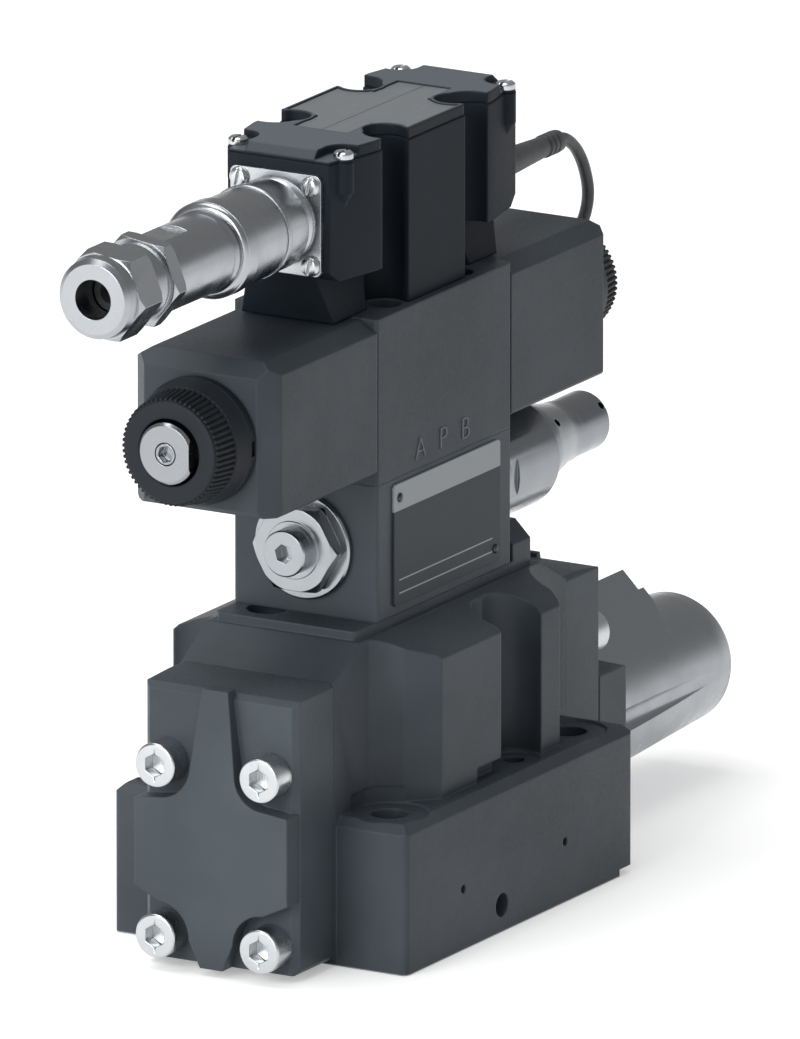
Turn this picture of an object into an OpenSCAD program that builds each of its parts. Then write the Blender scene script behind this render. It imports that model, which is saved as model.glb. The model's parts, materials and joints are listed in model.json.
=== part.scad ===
// Two-stage proportional directional valve with a pressure reducing sandwich plate,
// on-board electronics, a cable plug and a spool position sensor.
// X is the width, Y runs along the spools towards the position sensor, Z is up.
// The origin is the centre of the four main bolts on the mounting face.

/* [Mounting pattern] */
// Main bolt spacing across the valve
bolt_x = 69.9; // [68:0.1:72]
// Main bolt spacing along the valve
bolt_y = 101.6; // [100:0.1:104]
// Main bolt hole diameter
bolt_hole_d = 11; // [9:0.1:11.5]
// Auxiliary bolt spacing across the valve
aux_x = 73.1; // [72:0.1:74]
// Auxiliary bolt position along the valve
aux_y = 16.7; // [15:0.1:18]
// Auxiliary bolt hole diameter
aux_hole_d = 6.6; // [5.5:0.1:7]
// Diameter of the four main ports
port_d = 17.5; // [14:0.5:17.5]
// Diameter of the two pilot ports
pilot_port_d = 6.3; // [4:0.1:7]

/* [Main stage] */
// Width of the base flange
flange_w = 96; // [94:1:104]
// Length of the base flange
flange_l = 129.6; // [128:0.1:136]
// Height of the base flange
flange_h = 43.6; // [42:0.1:46]
// Width of the block between the end caps
block_w = 50; // [48:0.5:52]
// Length of the block between the end caps
block_l = 132; // [131:0.5:140]
// Height of the block
block_h = 91.5; // [90:0.1:95]
// Width across the bolt lugs
lug_w = 82.6; // [80:0.1:86]
// Height of the raised pad that carries the pilot stage
pad_rise = 2.7; // [1:0.1:5]
// Height of the main spool axis
spool_z = 31.5; // [30:0.1:33]
// Main spool diameter
spool_d = 22; // [18:0.5:24]
// Spool travel to each side
spool_travel = 7; // [4:0.5:8]

/* [End caps] */
// Thickness of the end caps
cap_t = 20.8; // [19:0.1:24]
// Height of the end cap's top edge
cap_top = 83.2; // [80:0.1:86]
// Spacing of the cap screws across
cap_screw_x = 34; // [32:0.5:36]
// Height of the lower cap screws
cap_screw_low = 10.1; // [9:0.1:12]
// Height of the upper cap screws
cap_screw_high = 60.2; // [58:0.1:62]
// Cap screw head diameter
cap_head_d = 13; // [12:0.5:13]
// Rise of the star-shaped boss on the front cap
front_boss = 5.8; // [4:0.1:8]
// Rise of the star-shaped boss on the rear cap
rear_boss = 14.2; // [12:0.1:18]

/* [Position sensor] */
// Largest diameter of the sensor housing
sensor_d = 45.4; // [40:0.2:46]
// Length of the sensor housing
sensor_l = 73.6; // [71:0.2:84]
// Taper of the housing in degrees
sensor_taper = 2.7; // [1:0.1:3.5]
// Diameter of the sliding sensor core
core_d = 6; // [4:0.5:7]

/* [Sandwich plate] */
// Width of the sandwich plate
plate_w = 47; // [45:0.5:48]
// Length of the sandwich plate
plate_l = 76.4; // [74:0.2:80]
// Height of the sandwich plate
plate_h = 40.1; // [39:0.1:46]
// Largest diameter of the rear cartridge
cartridge_d = 32; // [30:0.5:34]
// Diameter of the cartridge's rear tube
cartridge_tip_d = 17.6; // [16:0.2:19]
// Reducer spool diameter
reducer_d = 16; // [12:0.5:17]

/* [Pilot valve] */
// Height of the pilot body
pilot_h = 48.6; // [47:0.2:54]
// Height of the pilot spool axis above the pilot body's base
pilot_axis = 24.4; // [23.5:0.1:25]
// Distance from the centre to the front face of the front solenoid
front_reach = 97; // [95:0.5:100]
// Distance from the centre to the rear face of the rear solenoid
rear_reach = 96.2; // [94:0.2:98]
// Pilot spool diameter
pilot_spool_d = 12; // [10:0.5:13]
// Pilot spool travel to each side
pilot_travel = 3; // [2:0.5:3.5]
// Diameter of the solenoid tube
tube_d = 18; // [17:0.2:19]
// Diameter of the knurled coil nuts
knob_d = 37; // [34:0.5:39]
// Number of ribs on each coil nut
knob_ribs = 48; // [24:2:64]
// Spacing of the pilot screws across
pilot_screw_x = 31; // [30:0.5:32]
// Spacing of the pilot screws along the valve
pilot_screw_y = 40.5; // [39:0.5:42]

/* [Electronics] */
// Width across the middle of the electronics housing
case_w = 42; // [40:0.5:44]
// Width of the electronics housing at its ends
case_end_w = 33.2; // [32:0.2:36]
// Distance from the centre to the front face of the housing
case_front = 53; // [51:0.5:55]
// Distance from the centre to the rear face of the housing
case_rear = 52.5; // [51:0.5:55]
// Height of the electronics housing above the pilot body
case_h = 47.5; // [46:0.5:52]
// Thickness of the electronics cover
cover_t = 3.5; // [3:0.1:5]

/* [Cable plug] */
// Height of the plug axis above the pilot body
plug_rise = 29.7; // [28:0.1:31]
// Side of the square connector flange
socket_flange = 29.5; // [28:0.5:31]
// Diameter of the plug body
plug_d = 27.2; // [25:0.2:28]
// Width across flats of the gland nut
gland_af = 24; // [22:0.5:25]
// Bore of the cable gland
gland_bore = 11.6; // [10:0.1:12]
// Diameter of the sensor cable
cable_d = 3.6; // [3:0.1:4]

/* [Hidden] */
$fn = 48;
run_gap = 0.04;      // radial clearance of a running fit
seat_gap = 0.3;      // clearance between round parts that are not a fit
thread_gap = 0.2;    // radial clearance where a thread is drawn plain
spool_y = 0.8;       // middle of the main spool
end_play = 1;        // free length behind a sliding piece at the end of its travel
spool_l = block_l - 2 * (spool_travel + end_play);
block_front = spool_y - block_l / 2;
block_rear = spool_y + block_l / 2;
flange_front = spool_y - flange_l / 2;
flange_rear = spool_y + flange_l / 2;
pad_z = block_h + pad_rise;
plate_z = pad_z;
plate_axis = plate_z + plate_h / 2;
plate_front = -plate_l / 2;
plate_rear = plate_l / 2;
pilot_z = plate_z + plate_h;
pilot_top = pilot_z + pilot_h;
pz = pilot_z + pilot_axis;
case_z = pilot_top;
case_top = case_z + case_h;
cover_top = case_top + cover_t;
plug_z = case_z + plug_rise;
gallery_r = 17;
gallery_w = 9;
gallery_step = 15.9;
port_places = [[-20.65, spool_y], [20.65, spool_y + gallery_step], [20.65, spool_y - gallery_step],
    [-20.65, spool_y + 2 * gallery_step - 0.1]];
pilot_port_places = [[-19.05, -25.8], [22.25, -37.3]];
seal_depth = 1.9;
seal_wire = 1.8;
spotface_r = 11.2;
aux_pocket_r = 9;
cap_chamber_r = 13.5;
cap_chamber_depth = 16;
seat_t = 3;
spring_wire = 2;
cap_screw_d = 8;
cap_head_h = 8;
cap_screw_grip = 14;
pad_w = 46;
front_edge = -50.5;  // where the block's front slope meets its top
rod_r = 1.8;
core_front = 126;
core_rear = 146;
sensor_front = block_rear + cap_t + rear_boss;
sensor_rear = sensor_front + sensor_l;
sensor_bore = 14;
bobbin_front = sensor_front + 6;
bobbin_rear = sensor_rear - 10;
tube_wall = 1.5;
pilot_slim = 3.3;    // how far the solenoids' underside stays above the pilot body's base
solenoid_top = pilot_top - 0.4;
coil_r = 17.2;
armature_r = tube_d / 2 - 1.5;
pilot_spool_l = 46;
pilot_chamber = 7.4; // depth of the chambers at the ends of the pilot body
armature_l = 32;
armature_gap = pilot_travel + end_play;
knob_l = 17.6;
screw_m5 = 5;
hex = 6;
cable_r = cable_d / 2;

// Helpers: shapes laid along the valve's axes
module along_y(y0, y1, r, r2 = -1) {
    translate([0, y0, 0]) rotate([-90, 0, 0]) cylinder(h = y1 - y0, r1 = r, r2 = r2 < 0 ? r : r2);
}

module hex_along_y(y0, y1, af, turn = 0) {
    translate([0, y0, 0]) rotate([-90, 0, 0]) rotate(turn)
        cylinder(h = y1 - y0, d = af / cos(30), $fn = hex);
}

// Revolves a list of [radius, y] about the Y axis
module turned_y(profile) {
    rotate([-90, 0, 0]) rotate_extrude() polygon(profile);
}

// Extrudes an XZ drawing from y0 to y1
module slab_y(y0, y1) {
    translate([0, y1, 0]) rotate([90, 0, 0]) linear_extrude(y1 - y0) children();
}

// Extrudes a YZ drawing from x0 to x1
module slab_x(x0, x1) {
    translate([x0, 0, 0]) rotate([90, 0, 90]) linear_extrude(x1 - x0) children();
}

module slab_z(z0, z1) {
    translate([0, 0, z0]) linear_extrude(z1 - z0) children();
}

module rounded_rect(w, l, r) {
    hull() for (x = [-1, 1], y = [-1, 1]) translate([x * (w / 2 - r), y * (l / 2 - r)]) circle(r, $fn = 24);
}

// A rectangle with its four corners cut at 45 degrees
module cut_rect(w, l, c) {
    a = w / 2;
    b = l / 2;
    polygon([[-a, c - b], [c - a, -b], [a - c, -b], [a, c - b], [a, b - c], [a - c, b], [c - a, b],
        [-a, b - c]]);
}

module mirrored_x() {
    children();
    mirror([1, 0, 0]) children();
}

module four_corners(x, y) {
    for (i = [-1, 1], j = [-1, 1]) translate([i * x / 2, j * y / 2, 0]) children();
}

module torus_z(r, wire) {
    rotate_extrude() translate([r, 0]) circle(d = wire, $fn = 16);
}

// Round coil spring along Y with flat, closed ends
function spring_point(i, n, turns, r, y0, y1) =
    let (t = i / n, a = 360 * turns * t) [r * cos(a), y0 + (y1 - y0) * t, r * sin(a)];

module coil_spring(r, wire, turns, y0, y1) {
    rings = turns * 10;
    sides = 6;
    pts = [for (i = [0:rings], k = [0:sides - 1])
        let (c = spring_point(i, rings, turns, r, y0 + wire / 2, y1 - wire / 2),
            a = 360 * turns * i / rings, b = 360 * k / sides)
        [c[0] + wire / 2 * cos(b) * cos(a), c[1] + wire / 2 * sin(b), c[2] + wire / 2 * cos(b) * sin(a)]];
    walls = [for (i = [0:rings - 1], k = [0:sides - 1])
        [i * sides + k, i * sides + (k + 1) % sides, (i + 1) * sides + (k + 1) % sides, (i + 1) * sides + k]];
    ends = [[for (k = [sides - 1:-1:0]) k], [for (k = [0:sides - 1]) rings * sides + k]];
    polyhedron(pts, concat(walls, ends), convexity = 8);
}

// Main stage
module flange() {
    edge = 2.6;
    relief = 2.1;
    relief_l = 7.7;
    corner = 2;
    w = flange_w / 2;
    intersection() {
        slab_z(0, flange_h) translate([0, spool_y]) rounded_rect(flange_w, flange_l, corner);
        slab_y(flange_front, flange_rear)
            polygon([[-w, 0], [w, 0], [w, flange_h - edge], [w - edge, flange_h], [edge - w, flange_h],
                [-w, flange_h - edge]]);
        slab_x(-w, w)
            polygon([[flange_front, 0], [flange_rear - relief_l, 0], [flange_rear - relief_l, relief],
                [flange_rear, relief], [flange_rear, flange_h - edge], [flange_rear - edge, flange_h],
                [flange_front + edge, flange_h], [flange_front, flange_h - edge]]);
    }
}

module centre_block() {
    shoulder = cap_top - 0.2;
    rear_edge = 2 * spool_y - front_edge;
    slab_x(-block_w / 2, block_w / 2)
        polygon([[block_front, 2], [block_rear, 2], [block_rear, shoulder], [rear_edge, block_h],
            [front_edge, block_h], [block_front, shoulder]]);
}

// Plan of the lugs on one side, from the front bolt pocket to the rear one
module lug_plan(front_corner) {
    in = block_w / 2 - 5;
    out = lug_w / 2;
    bx = bolt_x / 2;
    by = bolt_y / 2;
    difference() {
        polygon([[in, -by], [in + 8, -by + 5.8], [out, front_corner], [out, 35], [in + 8, by - 4.8],
            [in, by]]);
        for (s = [-1, 1]) translate([bx, s * by]) circle(spotface_r - 0.2);
        translate([aux_x / 2, aux_y]) circle(aux_pocket_r);
        translate([aux_x / 2, aux_y - 6.3]) circle(aux_pocket_r);
        translate([aux_x / 2, 1.4]) square([30, 22.2]);
    }
}

module lugs(front_corner) {
    out = lug_w / 2;
    intersection() {
        slab_z(flange_h - 2, block_h) lug_plan(front_corner);
        slab_y(-bolt_y / 2, bolt_y / 2)
            polygon([[0, 0], [out, 0], [out, block_h - 6.8], [out - 1.4, block_h - 5.4],
                [block_w / 2 + 1.5, block_h - 0.6], [block_w / 2 - 0.5, block_h], [0, block_h]]);
    }
}

// Raised pad under the sandwich plate and the ridge behind it
module top_pad() {
    ridge_top = pad_z + 9.8;
    ridge_front = plate_rear + 1.8;
    ridge_rear = ridge_front + 10;
    slab_z(block_h - 1, pad_z) translate([0, spool_y - 0.4]) rounded_rect(pad_w, 100, 2);
    difference() {
        slab_y(ridge_front, ridge_rear)
            polygon([[-23, block_h - 1], [23, block_h - 1], [23, ridge_top - 5], [18, ridge_top],
                [-18, ridge_top],
                [-23, ridge_top - 5]]);
        translate([0, 0, plate_axis]) along_y(ridge_front - 1, ridge_rear + 1, cartridge_d / 2 + 1.8);
    }
}

module main_bores() {
    translate([0, 0, spool_z]) along_y(block_front - 1, block_rear + 1, spool_d / 2);
    for (k = [-2:2]) translate([0, spool_y + k * gallery_step, spool_z])
        along_y(-gallery_w / 2, gallery_w / 2, gallery_r);
    for (p = port_places) translate([p[0], p[1], -1]) {
        cylinder(h = spool_z + 1, d = port_d);
        cylinder(h = seal_depth + 1, d = port_d + 5);
    }
    for (p = pilot_port_places) translate([p[0], p[1], -1]) {
        cylinder(h = 21, d = pilot_port_d);
        cylinder(h = seal_depth + 1, d = pilot_port_d + 4.6);
    }
}

module bolt_holes() {
    four_corners(bolt_x, bolt_y) {
        translate([0, 0, -1]) cylinder(h = flange_h + 2, d = bolt_hole_d);
        translate([0, 0, flange_h - 0.6]) cylinder(h = 5, r = spotface_r);
    }
    for (s = [-1, 1]) translate([s * aux_x / 2, aux_y, -1]) {
        cylinder(h = flange_h + 2, d = aux_hole_d);
        translate([0, 0, flange_h + 0.4]) cylinder(h = 5, r = 7.6);
    }
}

module cap_screw_places() {
    for (x = [-1, 1], z = [cap_screw_low, cap_screw_high]) translate([x * cap_screw_x / 2, 0, z]) children();
}

module main_body() {
    side_hole_d = 2.6;
    gauge_hole_d = 7;
    blind_hole_r = 6;
    color("#474b50") difference() {
        union() {
            flange();
            centre_block();
            lugs(-32.1);
            mirror([1, 0, 0]) lugs(-42.5);
            top_pad();
        }
        main_bores();
        bolt_holes();
        cap_screw_places() {
            along_y(block_front - 1, block_front + cap_screw_grip + 1, cap_screw_d / 2 + thread_gap);
            along_y(block_rear - cap_screw_grip - 1, block_rear + 1, cap_screw_d / 2 + thread_gap);
        }
        for (y = [-31.7, 26.4]) translate([flange_w / 2 + 1, y, 18]) rotate([0, -90, 0])
            cylinder(h = 9, d = side_hole_d);
        translate([flange_w / 2 + 1, -9.7, 8]) rotate([0, -90, 0]) cylinder(h = 10, d = gauge_hole_d);
        translate([lug_w / 2 - 3, -12.1, flange_h]) cube([10, 13.6, 4.2]);
        translate([-11.7, -39.4, pad_z - 8]) cylinder(h = 10, r = blind_hole_r);
        pilot_screw_places() translate([0, 0, pad_z - 10]) cylinder(h = 11, d = screw_m5 + 2 * thread_gap);
    }
}

// Outline of the star-shaped boss on the end caps, drawn in X and Z
module star_outline() {
    side = block_w / 2;
    sweep_r = cap_head_d / 2 + 3.3;
    sx = cap_screw_x / 2;
    half = [[0, cap_top], [4.1, cap_top], [sx - sweep_r, cap_screw_high], [sx, cap_screw_high],
        [sx, cap_screw_high - sweep_r], [side, 49.4], [side, 23.8], [sx, cap_screw_low + sweep_r],
        [sx, cap_screw_low], [sx - sweep_r, cap_screw_low], [3.7, 2], [0, 2]];
    difference() {
        union() {
            polygon(half);
            mirror([1, 0]) polygon(half);
        }
        for (x = [-sx, sx], z = [cap_screw_low, cap_screw_high]) translate([x, z]) circle(sweep_r);
    }
}

// An end cap whose inner face lies at y = 0 and whose outside points towards -Y
module cap_shape(boss) {
    a = block_w / 2;
    soft = 1.8;
    intersection() {
        slab_y(-cap_t, 0) translate([0, (cap_top + 2) / 2]) cut_rect(block_w, cap_top - 2, 1.2);
        slab_x(-a, a) polygon([[0, 2], [0, cap_top + 1], [soft - cap_t, cap_top - 1],
            [-cap_t, cap_top - 1 - soft],
            [-cap_t, 2]]);
        slab_z(0, cap_top + 2)
            polygon([[-a, 0], [a, 0], [a, soft - cap_t], [a - soft, -cap_t], [soft - a, -cap_t],
                [-a, soft - cap_t]]);
    }
    intersection() {
        slab_y(-cap_t - boss, -cap_t + 1) star_outline();
        slab_x(-a, a)
            polygon([[1 - cap_t, 2], [-cap_t - boss + 0.4, 2], [-cap_t - boss, 8], [-cap_t - boss, 50],
                [-cap_t - boss / 2, cap_top], [1 - cap_t, cap_top]]);
    }
}

module cap_holes() {
    translate([0, 0, spool_z]) along_y(-cap_chamber_depth, 1, cap_chamber_r);
    cap_screw_places() along_y(-cap_t - 1, 1, cap_screw_d / 2 + seat_gap);
}

module front_end_cap() {
    color("#4d5254") translate([0, block_front, 0]) difference() {
        cap_shape(front_boss);
        cap_holes();
    }
}

module rear_end_cap() {
    bevel = 8;
    color("#41464b") translate([0, block_rear, 0]) mirror([0, 1, 0]) difference() {
        cap_shape(rear_boss);
        cap_holes();
        translate([0, 0, spool_z]) along_y(-cap_t - rear_boss - 1, 1, 5.3);
        translate([0, 0, 48.9]) slab_x(-30, 30)
            polygon([[-cap_t - rear_boss - 1, -0.5], [-cap_t - rear_boss - 1, 40], [-cap_t - 1, 40],
                [-cap_t - 1, 6.7]]);
    }
}

// A socket head screw whose head stands on y = 0 and points towards -Y
module socket_screw(d, head_d, head_h, grip, socket) {
    edge = 0.5;
    difference() {
        turned_y([[0, -head_h], [head_d / 2 - edge, -head_h], [head_d / 2, edge - head_h], [head_d / 2, 0],
            [d / 2, 0], [d / 2, grip - 1], [d / 2 - 1, grip], [0, grip]]);
        hex_along_y(-head_h - 1, -head_h * 0.45, socket);
    }
}

module cap_screws() {
    cap_screw_places() translate([0, -cap_t, 0])
        socket_screw(cap_screw_d, cap_head_d, cap_head_h, cap_t + cap_screw_grip, 6);
}

module front_cap_screws() {
    color("#c9ccd0") translate([0, block_front, 0]) cap_screws();
}

module rear_cap_screws() {
    color("#c9ccd0") translate([0, block_rear, 0]) mirror([0, 1, 0]) cap_screws();
}

module main_spool() {
    r = spool_d / 2 - run_gap;
    waist = r * 0.6;
    half = spool_l / 2;
    land = gallery_w / 2;
    taper = 1;
    groove_edges = [gallery_step - land, gallery_step + land];
    color("#b9bec4") translate([0, spool_y, spool_z]) difference() {
        along_y(-half, half, r);
        for (s = [-1, 1], k = [0.5, 1.5]) translate([0, s * k * gallery_step, 0]) difference() {
            along_y(-3, 3, r + 1);
            along_y(-4, 4, waist + (k > 1 ? taper : 0));
        }
        for (s = [-1, 1], y = [39:3:54]) translate([0, s * y, 0]) difference() {
            along_y(-0.4, 0.4, r + 1);
            along_y(-1, 1, r - 0.4);
        }
        along_y(half - 10, half + 1, rod_r + thread_gap);
    }
}

module spring_seat() {
    r = spool_d / 2 - seat_gap;
    turned_y([[rod_r + seat_gap, 0], [r, 0], [r, -seat_t], [5.5, -seat_t], [5.5, -seat_t - 3],
        [rod_r + seat_gap, -seat_t - 3]]);
}

module front_spring_seat() {
    color("#9aa0a6") translate([0, spool_y - spool_l / 2, spool_z]) spring_seat();
}

module rear_spring_seat() {
    color("#9aa0a6") translate([0, spool_y + spool_l / 2, spool_z]) mirror([0, 1, 0]) spring_seat();
}

main_spring_r = 7.6;
module front_main_spring() {
    color("#8d9399") translate([0, 0, spool_z])
        coil_spring(main_spring_r, spring_wire, 6, block_front - cap_chamber_depth,
            spool_y - spool_l / 2 - seat_t);
}

module rear_main_spring() {
    color("#8d9399") translate([0, 0, spool_z])
        coil_spring(main_spring_r, spring_wire, 6, spool_y + spool_l / 2 + seat_t,
            block_rear + cap_chamber_depth);
}

module port_seals() {
    color("#1c1d1f") {
        for (p = port_places) translate([p[0], p[1], seal_depth - seal_wire / 2])
            torus_z(port_d / 2 + 1.5, seal_wire);
        for (p = pilot_port_places) translate([p[0], p[1], seal_depth - seal_wire / 2])
            torus_z(pilot_port_d / 2 + 1.3, seal_wire);
    }
}

// Position sensor behind the rear end cap
function sensor_r(y) = sensor_d / 2 - (y - sensor_front) * tan(sensor_taper);

module sensor_housing() {
    rear_soft = 2.4;
    plate_u = 23.3;
    plate_high = 23.3;
    plate_step = 15.9;
    plate_low = 11.2;
    foot_u = 20;
    foot_v = -2;
    plate_front = sensor_front + 8;
    plate_rear = sensor_front + 42;
    step_l = 2.8;
    flute_r = 4;
    flute_depth = 3.1;
    color("#8e9499") translate([0, 0, spool_z]) difference() {
        union() {
            difference() {
                turned_y([[0, sensor_front], [sensor_r(sensor_front), sensor_front],
                    [sensor_r(sensor_rear - rear_soft), sensor_rear - rear_soft],
                    [sensor_r(sensor_rear) - 0.7, sensor_rear - 0.7],
                    [sensor_r(sensor_rear) - rear_soft, sensor_rear], [0, sensor_rear]]);
                for (s = [-1, 1]) translate([s * (sensor_d / 2 - flute_depth + flute_r), 0, -0.6])
                    along_y(sensor_front - 1, sensor_rear + 1, flute_r);
            }
            rotate([0, -45, 0]) {
                slab_y(plate_front, plate_rear) translate([-plate_u, plate_step - 1])
                    square([2 * plate_u, plate_high - plate_step + 1]);
                slab_y(plate_front, plate_rear + step_l)
                    polygon([[-foot_u, foot_v], [-plate_u, plate_low], [-plate_u, plate_step],
                        [plate_u, plate_step], [plate_u, plate_low], [foot_u, foot_v]]);
            }
        }
        along_y(sensor_front - 1, sensor_rear - 8, sensor_bore);
    }
}

module sensor_tube() {
    inner = core_d / 2 + 0.4;
    outer = inner + tube_wall;
    y0 = block_rear + cap_chamber_depth + 1;
    color("#a7adb3") translate([0, 0, spool_z])
        turned_y([[inner, y0], [outer, y0], [outer, sensor_front], [sensor_bore - seat_gap, sensor_front],
            [sensor_bore - seat_gap, sensor_front + 4], [outer, sensor_front + 4], [outer, sensor_rear - 9],
            [0, sensor_rear - 9], [0, sensor_rear - 11], [inner, sensor_rear - 11]]);
}

module sensor_coil() {
    inner = core_d / 2 + 0.4 + tube_wall + 0.1;
    color("#9c5a2c") translate([0, 0, spool_z])
        turned_y([[inner, bobbin_front], [13, bobbin_front], [13, bobbin_front + 2], [11.5, bobbin_front + 2],
            [11.5, bobbin_rear - 2], [13, bobbin_rear - 2], [13, bobbin_rear], [inner, bobbin_rear]]);
}

module sensor_core() {
    rod_front = spool_y + spool_l / 2 - 8;
    color("#a3a8ae") translate([0, 0, spool_z]) {
        turned_y([[0, rod_front], [rod_r, rod_front], [rod_r, core_front], [core_d / 2, core_front + 0.5],
            [core_d / 2, core_rear - 0.5], [core_d / 2 - 0.5, core_rear], [0, core_rear]]);
    }
}

// Sandwich plate with the pressure reducer
module pilot_screw_places() {
    four_corners(pilot_screw_x, pilot_screw_y) children();
}

module sandwich_body() {
    color("#43484d") difference() {
        slab_z(plate_z, pilot_z) cut_rect(plate_w, plate_l, 0.8);
        translate([0, 0, plate_axis]) {
            along_y(plate_front - 1, plate_rear + 1, reducer_d / 2);
            along_y(plate_front - 1, plate_front + 11, reducer_d / 2 + 1);
            along_y(plate_rear - 13, plate_rear + 1, reducer_d / 2 + 1);
        }
        pilot_screw_places() translate([0, 0, plate_z - 1]) cylinder(h = plate_h + 2, d = screw_m5 + 0.6);
    }
}

stem_d = 13.6;
module sandwich_plug() {
    hex_front = plate_front - 7.1;
    collar_r = 15.6;
    color("#c3c7cb") translate([0, 0, plate_axis]) difference() {
        union() {
            turned_y([[0, plate_front - 2.2], [collar_r - 0.5, plate_front - 2.2],
                [collar_r, plate_front - 1.7],
                [collar_r, plate_front], [reducer_d / 2 + 0.8, plate_front],
                [reducer_d / 2 + 0.8, plate_front + 10],
                [0, plate_front + 10]]);
            intersection() {
                hex_along_y(hex_front, plate_front - 2, 24);
                turned_y([[0, hex_front], [12.2, hex_front], [13.9, hex_front + 1.3],
                    [13.9, plate_front - 3.4],
                    [12.4, plate_front - 2], [0, plate_front - 2]]);
            }
            turned_y([[0, hex_front - 0.5], [8.4, hex_front - 0.5], [8.4, hex_front + 0.5],
                [0, hex_front + 0.5]]);
        }
        along_y(hex_front - 1, plate_front + 11, stem_d / 2 - 1 + thread_gap);
    }
}

module sandwich_stem() {
    tip = plate_front - 12.3;
    seat = plate_front - 7.1 - 0.5;
    r = stem_d / 2;
    color("#c3c7cb") translate([0, 0, plate_axis]) difference() {
        turned_y([[0, tip], [r - 0.4, tip], [r, tip + 0.4], [r, seat], [r - 1, seat],
            [r - 1, plate_front + 8],
            [0, plate_front + 8]]);
        hex_along_y(tip - 1, tip + 3.2, 5, 15);
    }
}

module rear_cartridge() {
    r = cartridge_d / 2;
    tip = cartridge_tip_d / 2;
    y0 = plate_rear;
    color("#a2a7ac") translate([0, 0, plate_axis]) difference() {
        union() {
            intersection() {
                turned_y([[0, y0 + 13], [r, y0 + 13], [r, y0 + 41], [r - 1, y0 + 42], [12.5, y0 + 42],
                    [12.5, y0 + 48],
                    [tip + 0.4, y0 + 64], [tip + 0.4, y0 + 67], [tip, y0 + 67.6], [tip, y0 + 82.3],
                    [tip - 1, y0 + 83.3], [0, y0 + 83.3]]);
                union() {
                    hex_along_y(y0 + 12, y0 + 36, 30, 30);
                    along_y(y0 + 35.9, y0 + 84, r);
                }
            }
            turned_y([[0, y0], [r + 1, y0], [r + 1, y0 + 1.6], [r, y0 + 2], [r, y0 + 4], [r + 1, y0 + 4.4],
                [r + 1, y0 + 12.4], [r, y0 + 13], [0, y0 + 13.1]]);
            along_y(y0 - 12, y0 + 1, reducer_d / 2 + 0.8);
        }
        along_y(y0 - 13, y0 + 20, 5.5);
        for (a = [50, 170, 290]) rotate([0, a, 0]) {
            translate([0, y0 + 51.8, 8]) cylinder(h = 9, d = 2.6);
            translate([0, y0 + 81, 6]) cylinder(h = 4, d = 2.4);
        }
    }
}

reducer_front = -16;
reducer_rear = 12;
module reducer_spool() {
    r = reducer_d / 2 - run_gap;
    color("#b9bec4") translate([0, 0, plate_axis])
        turned_y([[0, reducer_front], [r - 0.5, reducer_front], [r, reducer_front + 0.5],
            [r, reducer_front + 8],
            [r * 0.6, reducer_front + 10], [r * 0.6, reducer_rear - 10], [r, reducer_rear - 8],
            [r, reducer_rear],
            [3, reducer_rear], [3, reducer_rear + 5], [0, reducer_rear + 5]]);
}

module reducer_spring() {
    color("#8d9399") translate([0, 0, plate_axis])
        coil_spring(4.4, 1.2, 7, reducer_rear, plate_rear + 20);
}

plate_t = 0.8;
tag_y = [-29.7, 30.6];
tag_z = [2.8, 38.4];
module name_plate() {
    color("#5a6066") translate([0, 0, plate_z]) slab_x(plate_w / 2, plate_w / 2 + plate_t)
        translate([(tag_y[0] + tag_y[1]) / 2, (tag_z[0] + tag_z[1]) / 2])
            cut_rect(tag_y[1] - tag_y[0], tag_z[1] - tag_z[0], 0.8);
}

module plate_rivets() {
    color("#2c3034") for (y = [tag_y[0] + 3, tag_y[1] - 3], z = [tag_z[0] + 4, tag_z[1] - 4])
        translate([plate_w / 2 + plate_t, y, plate_z + z]) rotate([0, 90, 0]) cylinder(h = 0.6, r1 = 1.4,
            r2 = 1);
}

// Pilot valve: body, two solenoids, spool
module pilot_body() {
    chamber_r = tube_d / 2 + 1;
    color("#4a4f53") difference() {
        slab_z(pilot_z, pilot_top) cut_rect(plate_w, plate_l, 0.8);
        translate([0, 0, pz]) {
            along_y(plate_front - 1, plate_rear + 1, pilot_spool_d / 2);
            for (y = [-12, 0, 12]) along_y(y - 2, y + 2, pilot_spool_d / 2 + 2.5);
            along_y(plate_front - 1, plate_front + pilot_chamber, chamber_r);
            along_y(plate_rear - pilot_chamber, plate_rear + 1, chamber_r);
        }
        pilot_screw_places() {
            translate([0, 0, pilot_z - 1]) cylinder(h = pilot_h + 2, d = screw_m5 + 0.6);
            translate([0, 0, pilot_top - 8]) cylinder(h = 9, d = 10);
        }
    }
}

// A solenoid housing with its inner face at y = 0, reaching to y = -reach
module solenoid_housing(reach) {
    a = plate_w / 2;
    c = 5.2;
    low = pilot_z + pilot_slim;
    wall = 4.6;
    difference() {
        intersection() {
            slab_z(low, solenoid_top)
                polygon([[-a, 0], [a, 0], [a, c - reach], [a - c, -reach], [c - a, -reach], [-a, c - reach]]);
            slab_x(-a, a)
                polygon([[0, low], [0, solenoid_top], [4.2 - reach, solenoid_top],
                    [-reach, solenoid_top - 4.2],
                    [-reach, low + 1.5], [1.5 - reach, low]]);
            slab_y(-reach, 0)
                polygon([[1 - a, low], [a - 1, low], [a, low + 1], [a, solenoid_top - 3.4],
                    [a - 3, solenoid_top - 1.6],
                    [a - 5.5, solenoid_top], [5.5 - a, solenoid_top], [3 - a, solenoid_top - 1.6],
                    [-a, solenoid_top - 3.4], [-a, low + 1]]);
        }
        translate([0, 0, pz]) {
            along_y(wall - reach, 1, coil_r + seat_gap);
            along_y(-reach - 1, wall, tube_d / 2 + seat_gap);
        }
    }
}

module front_solenoid_housing() {
    color("#4f5456") translate([0, plate_front, 0]) solenoid_housing(front_reach - plate_l / 2);
}

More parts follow.
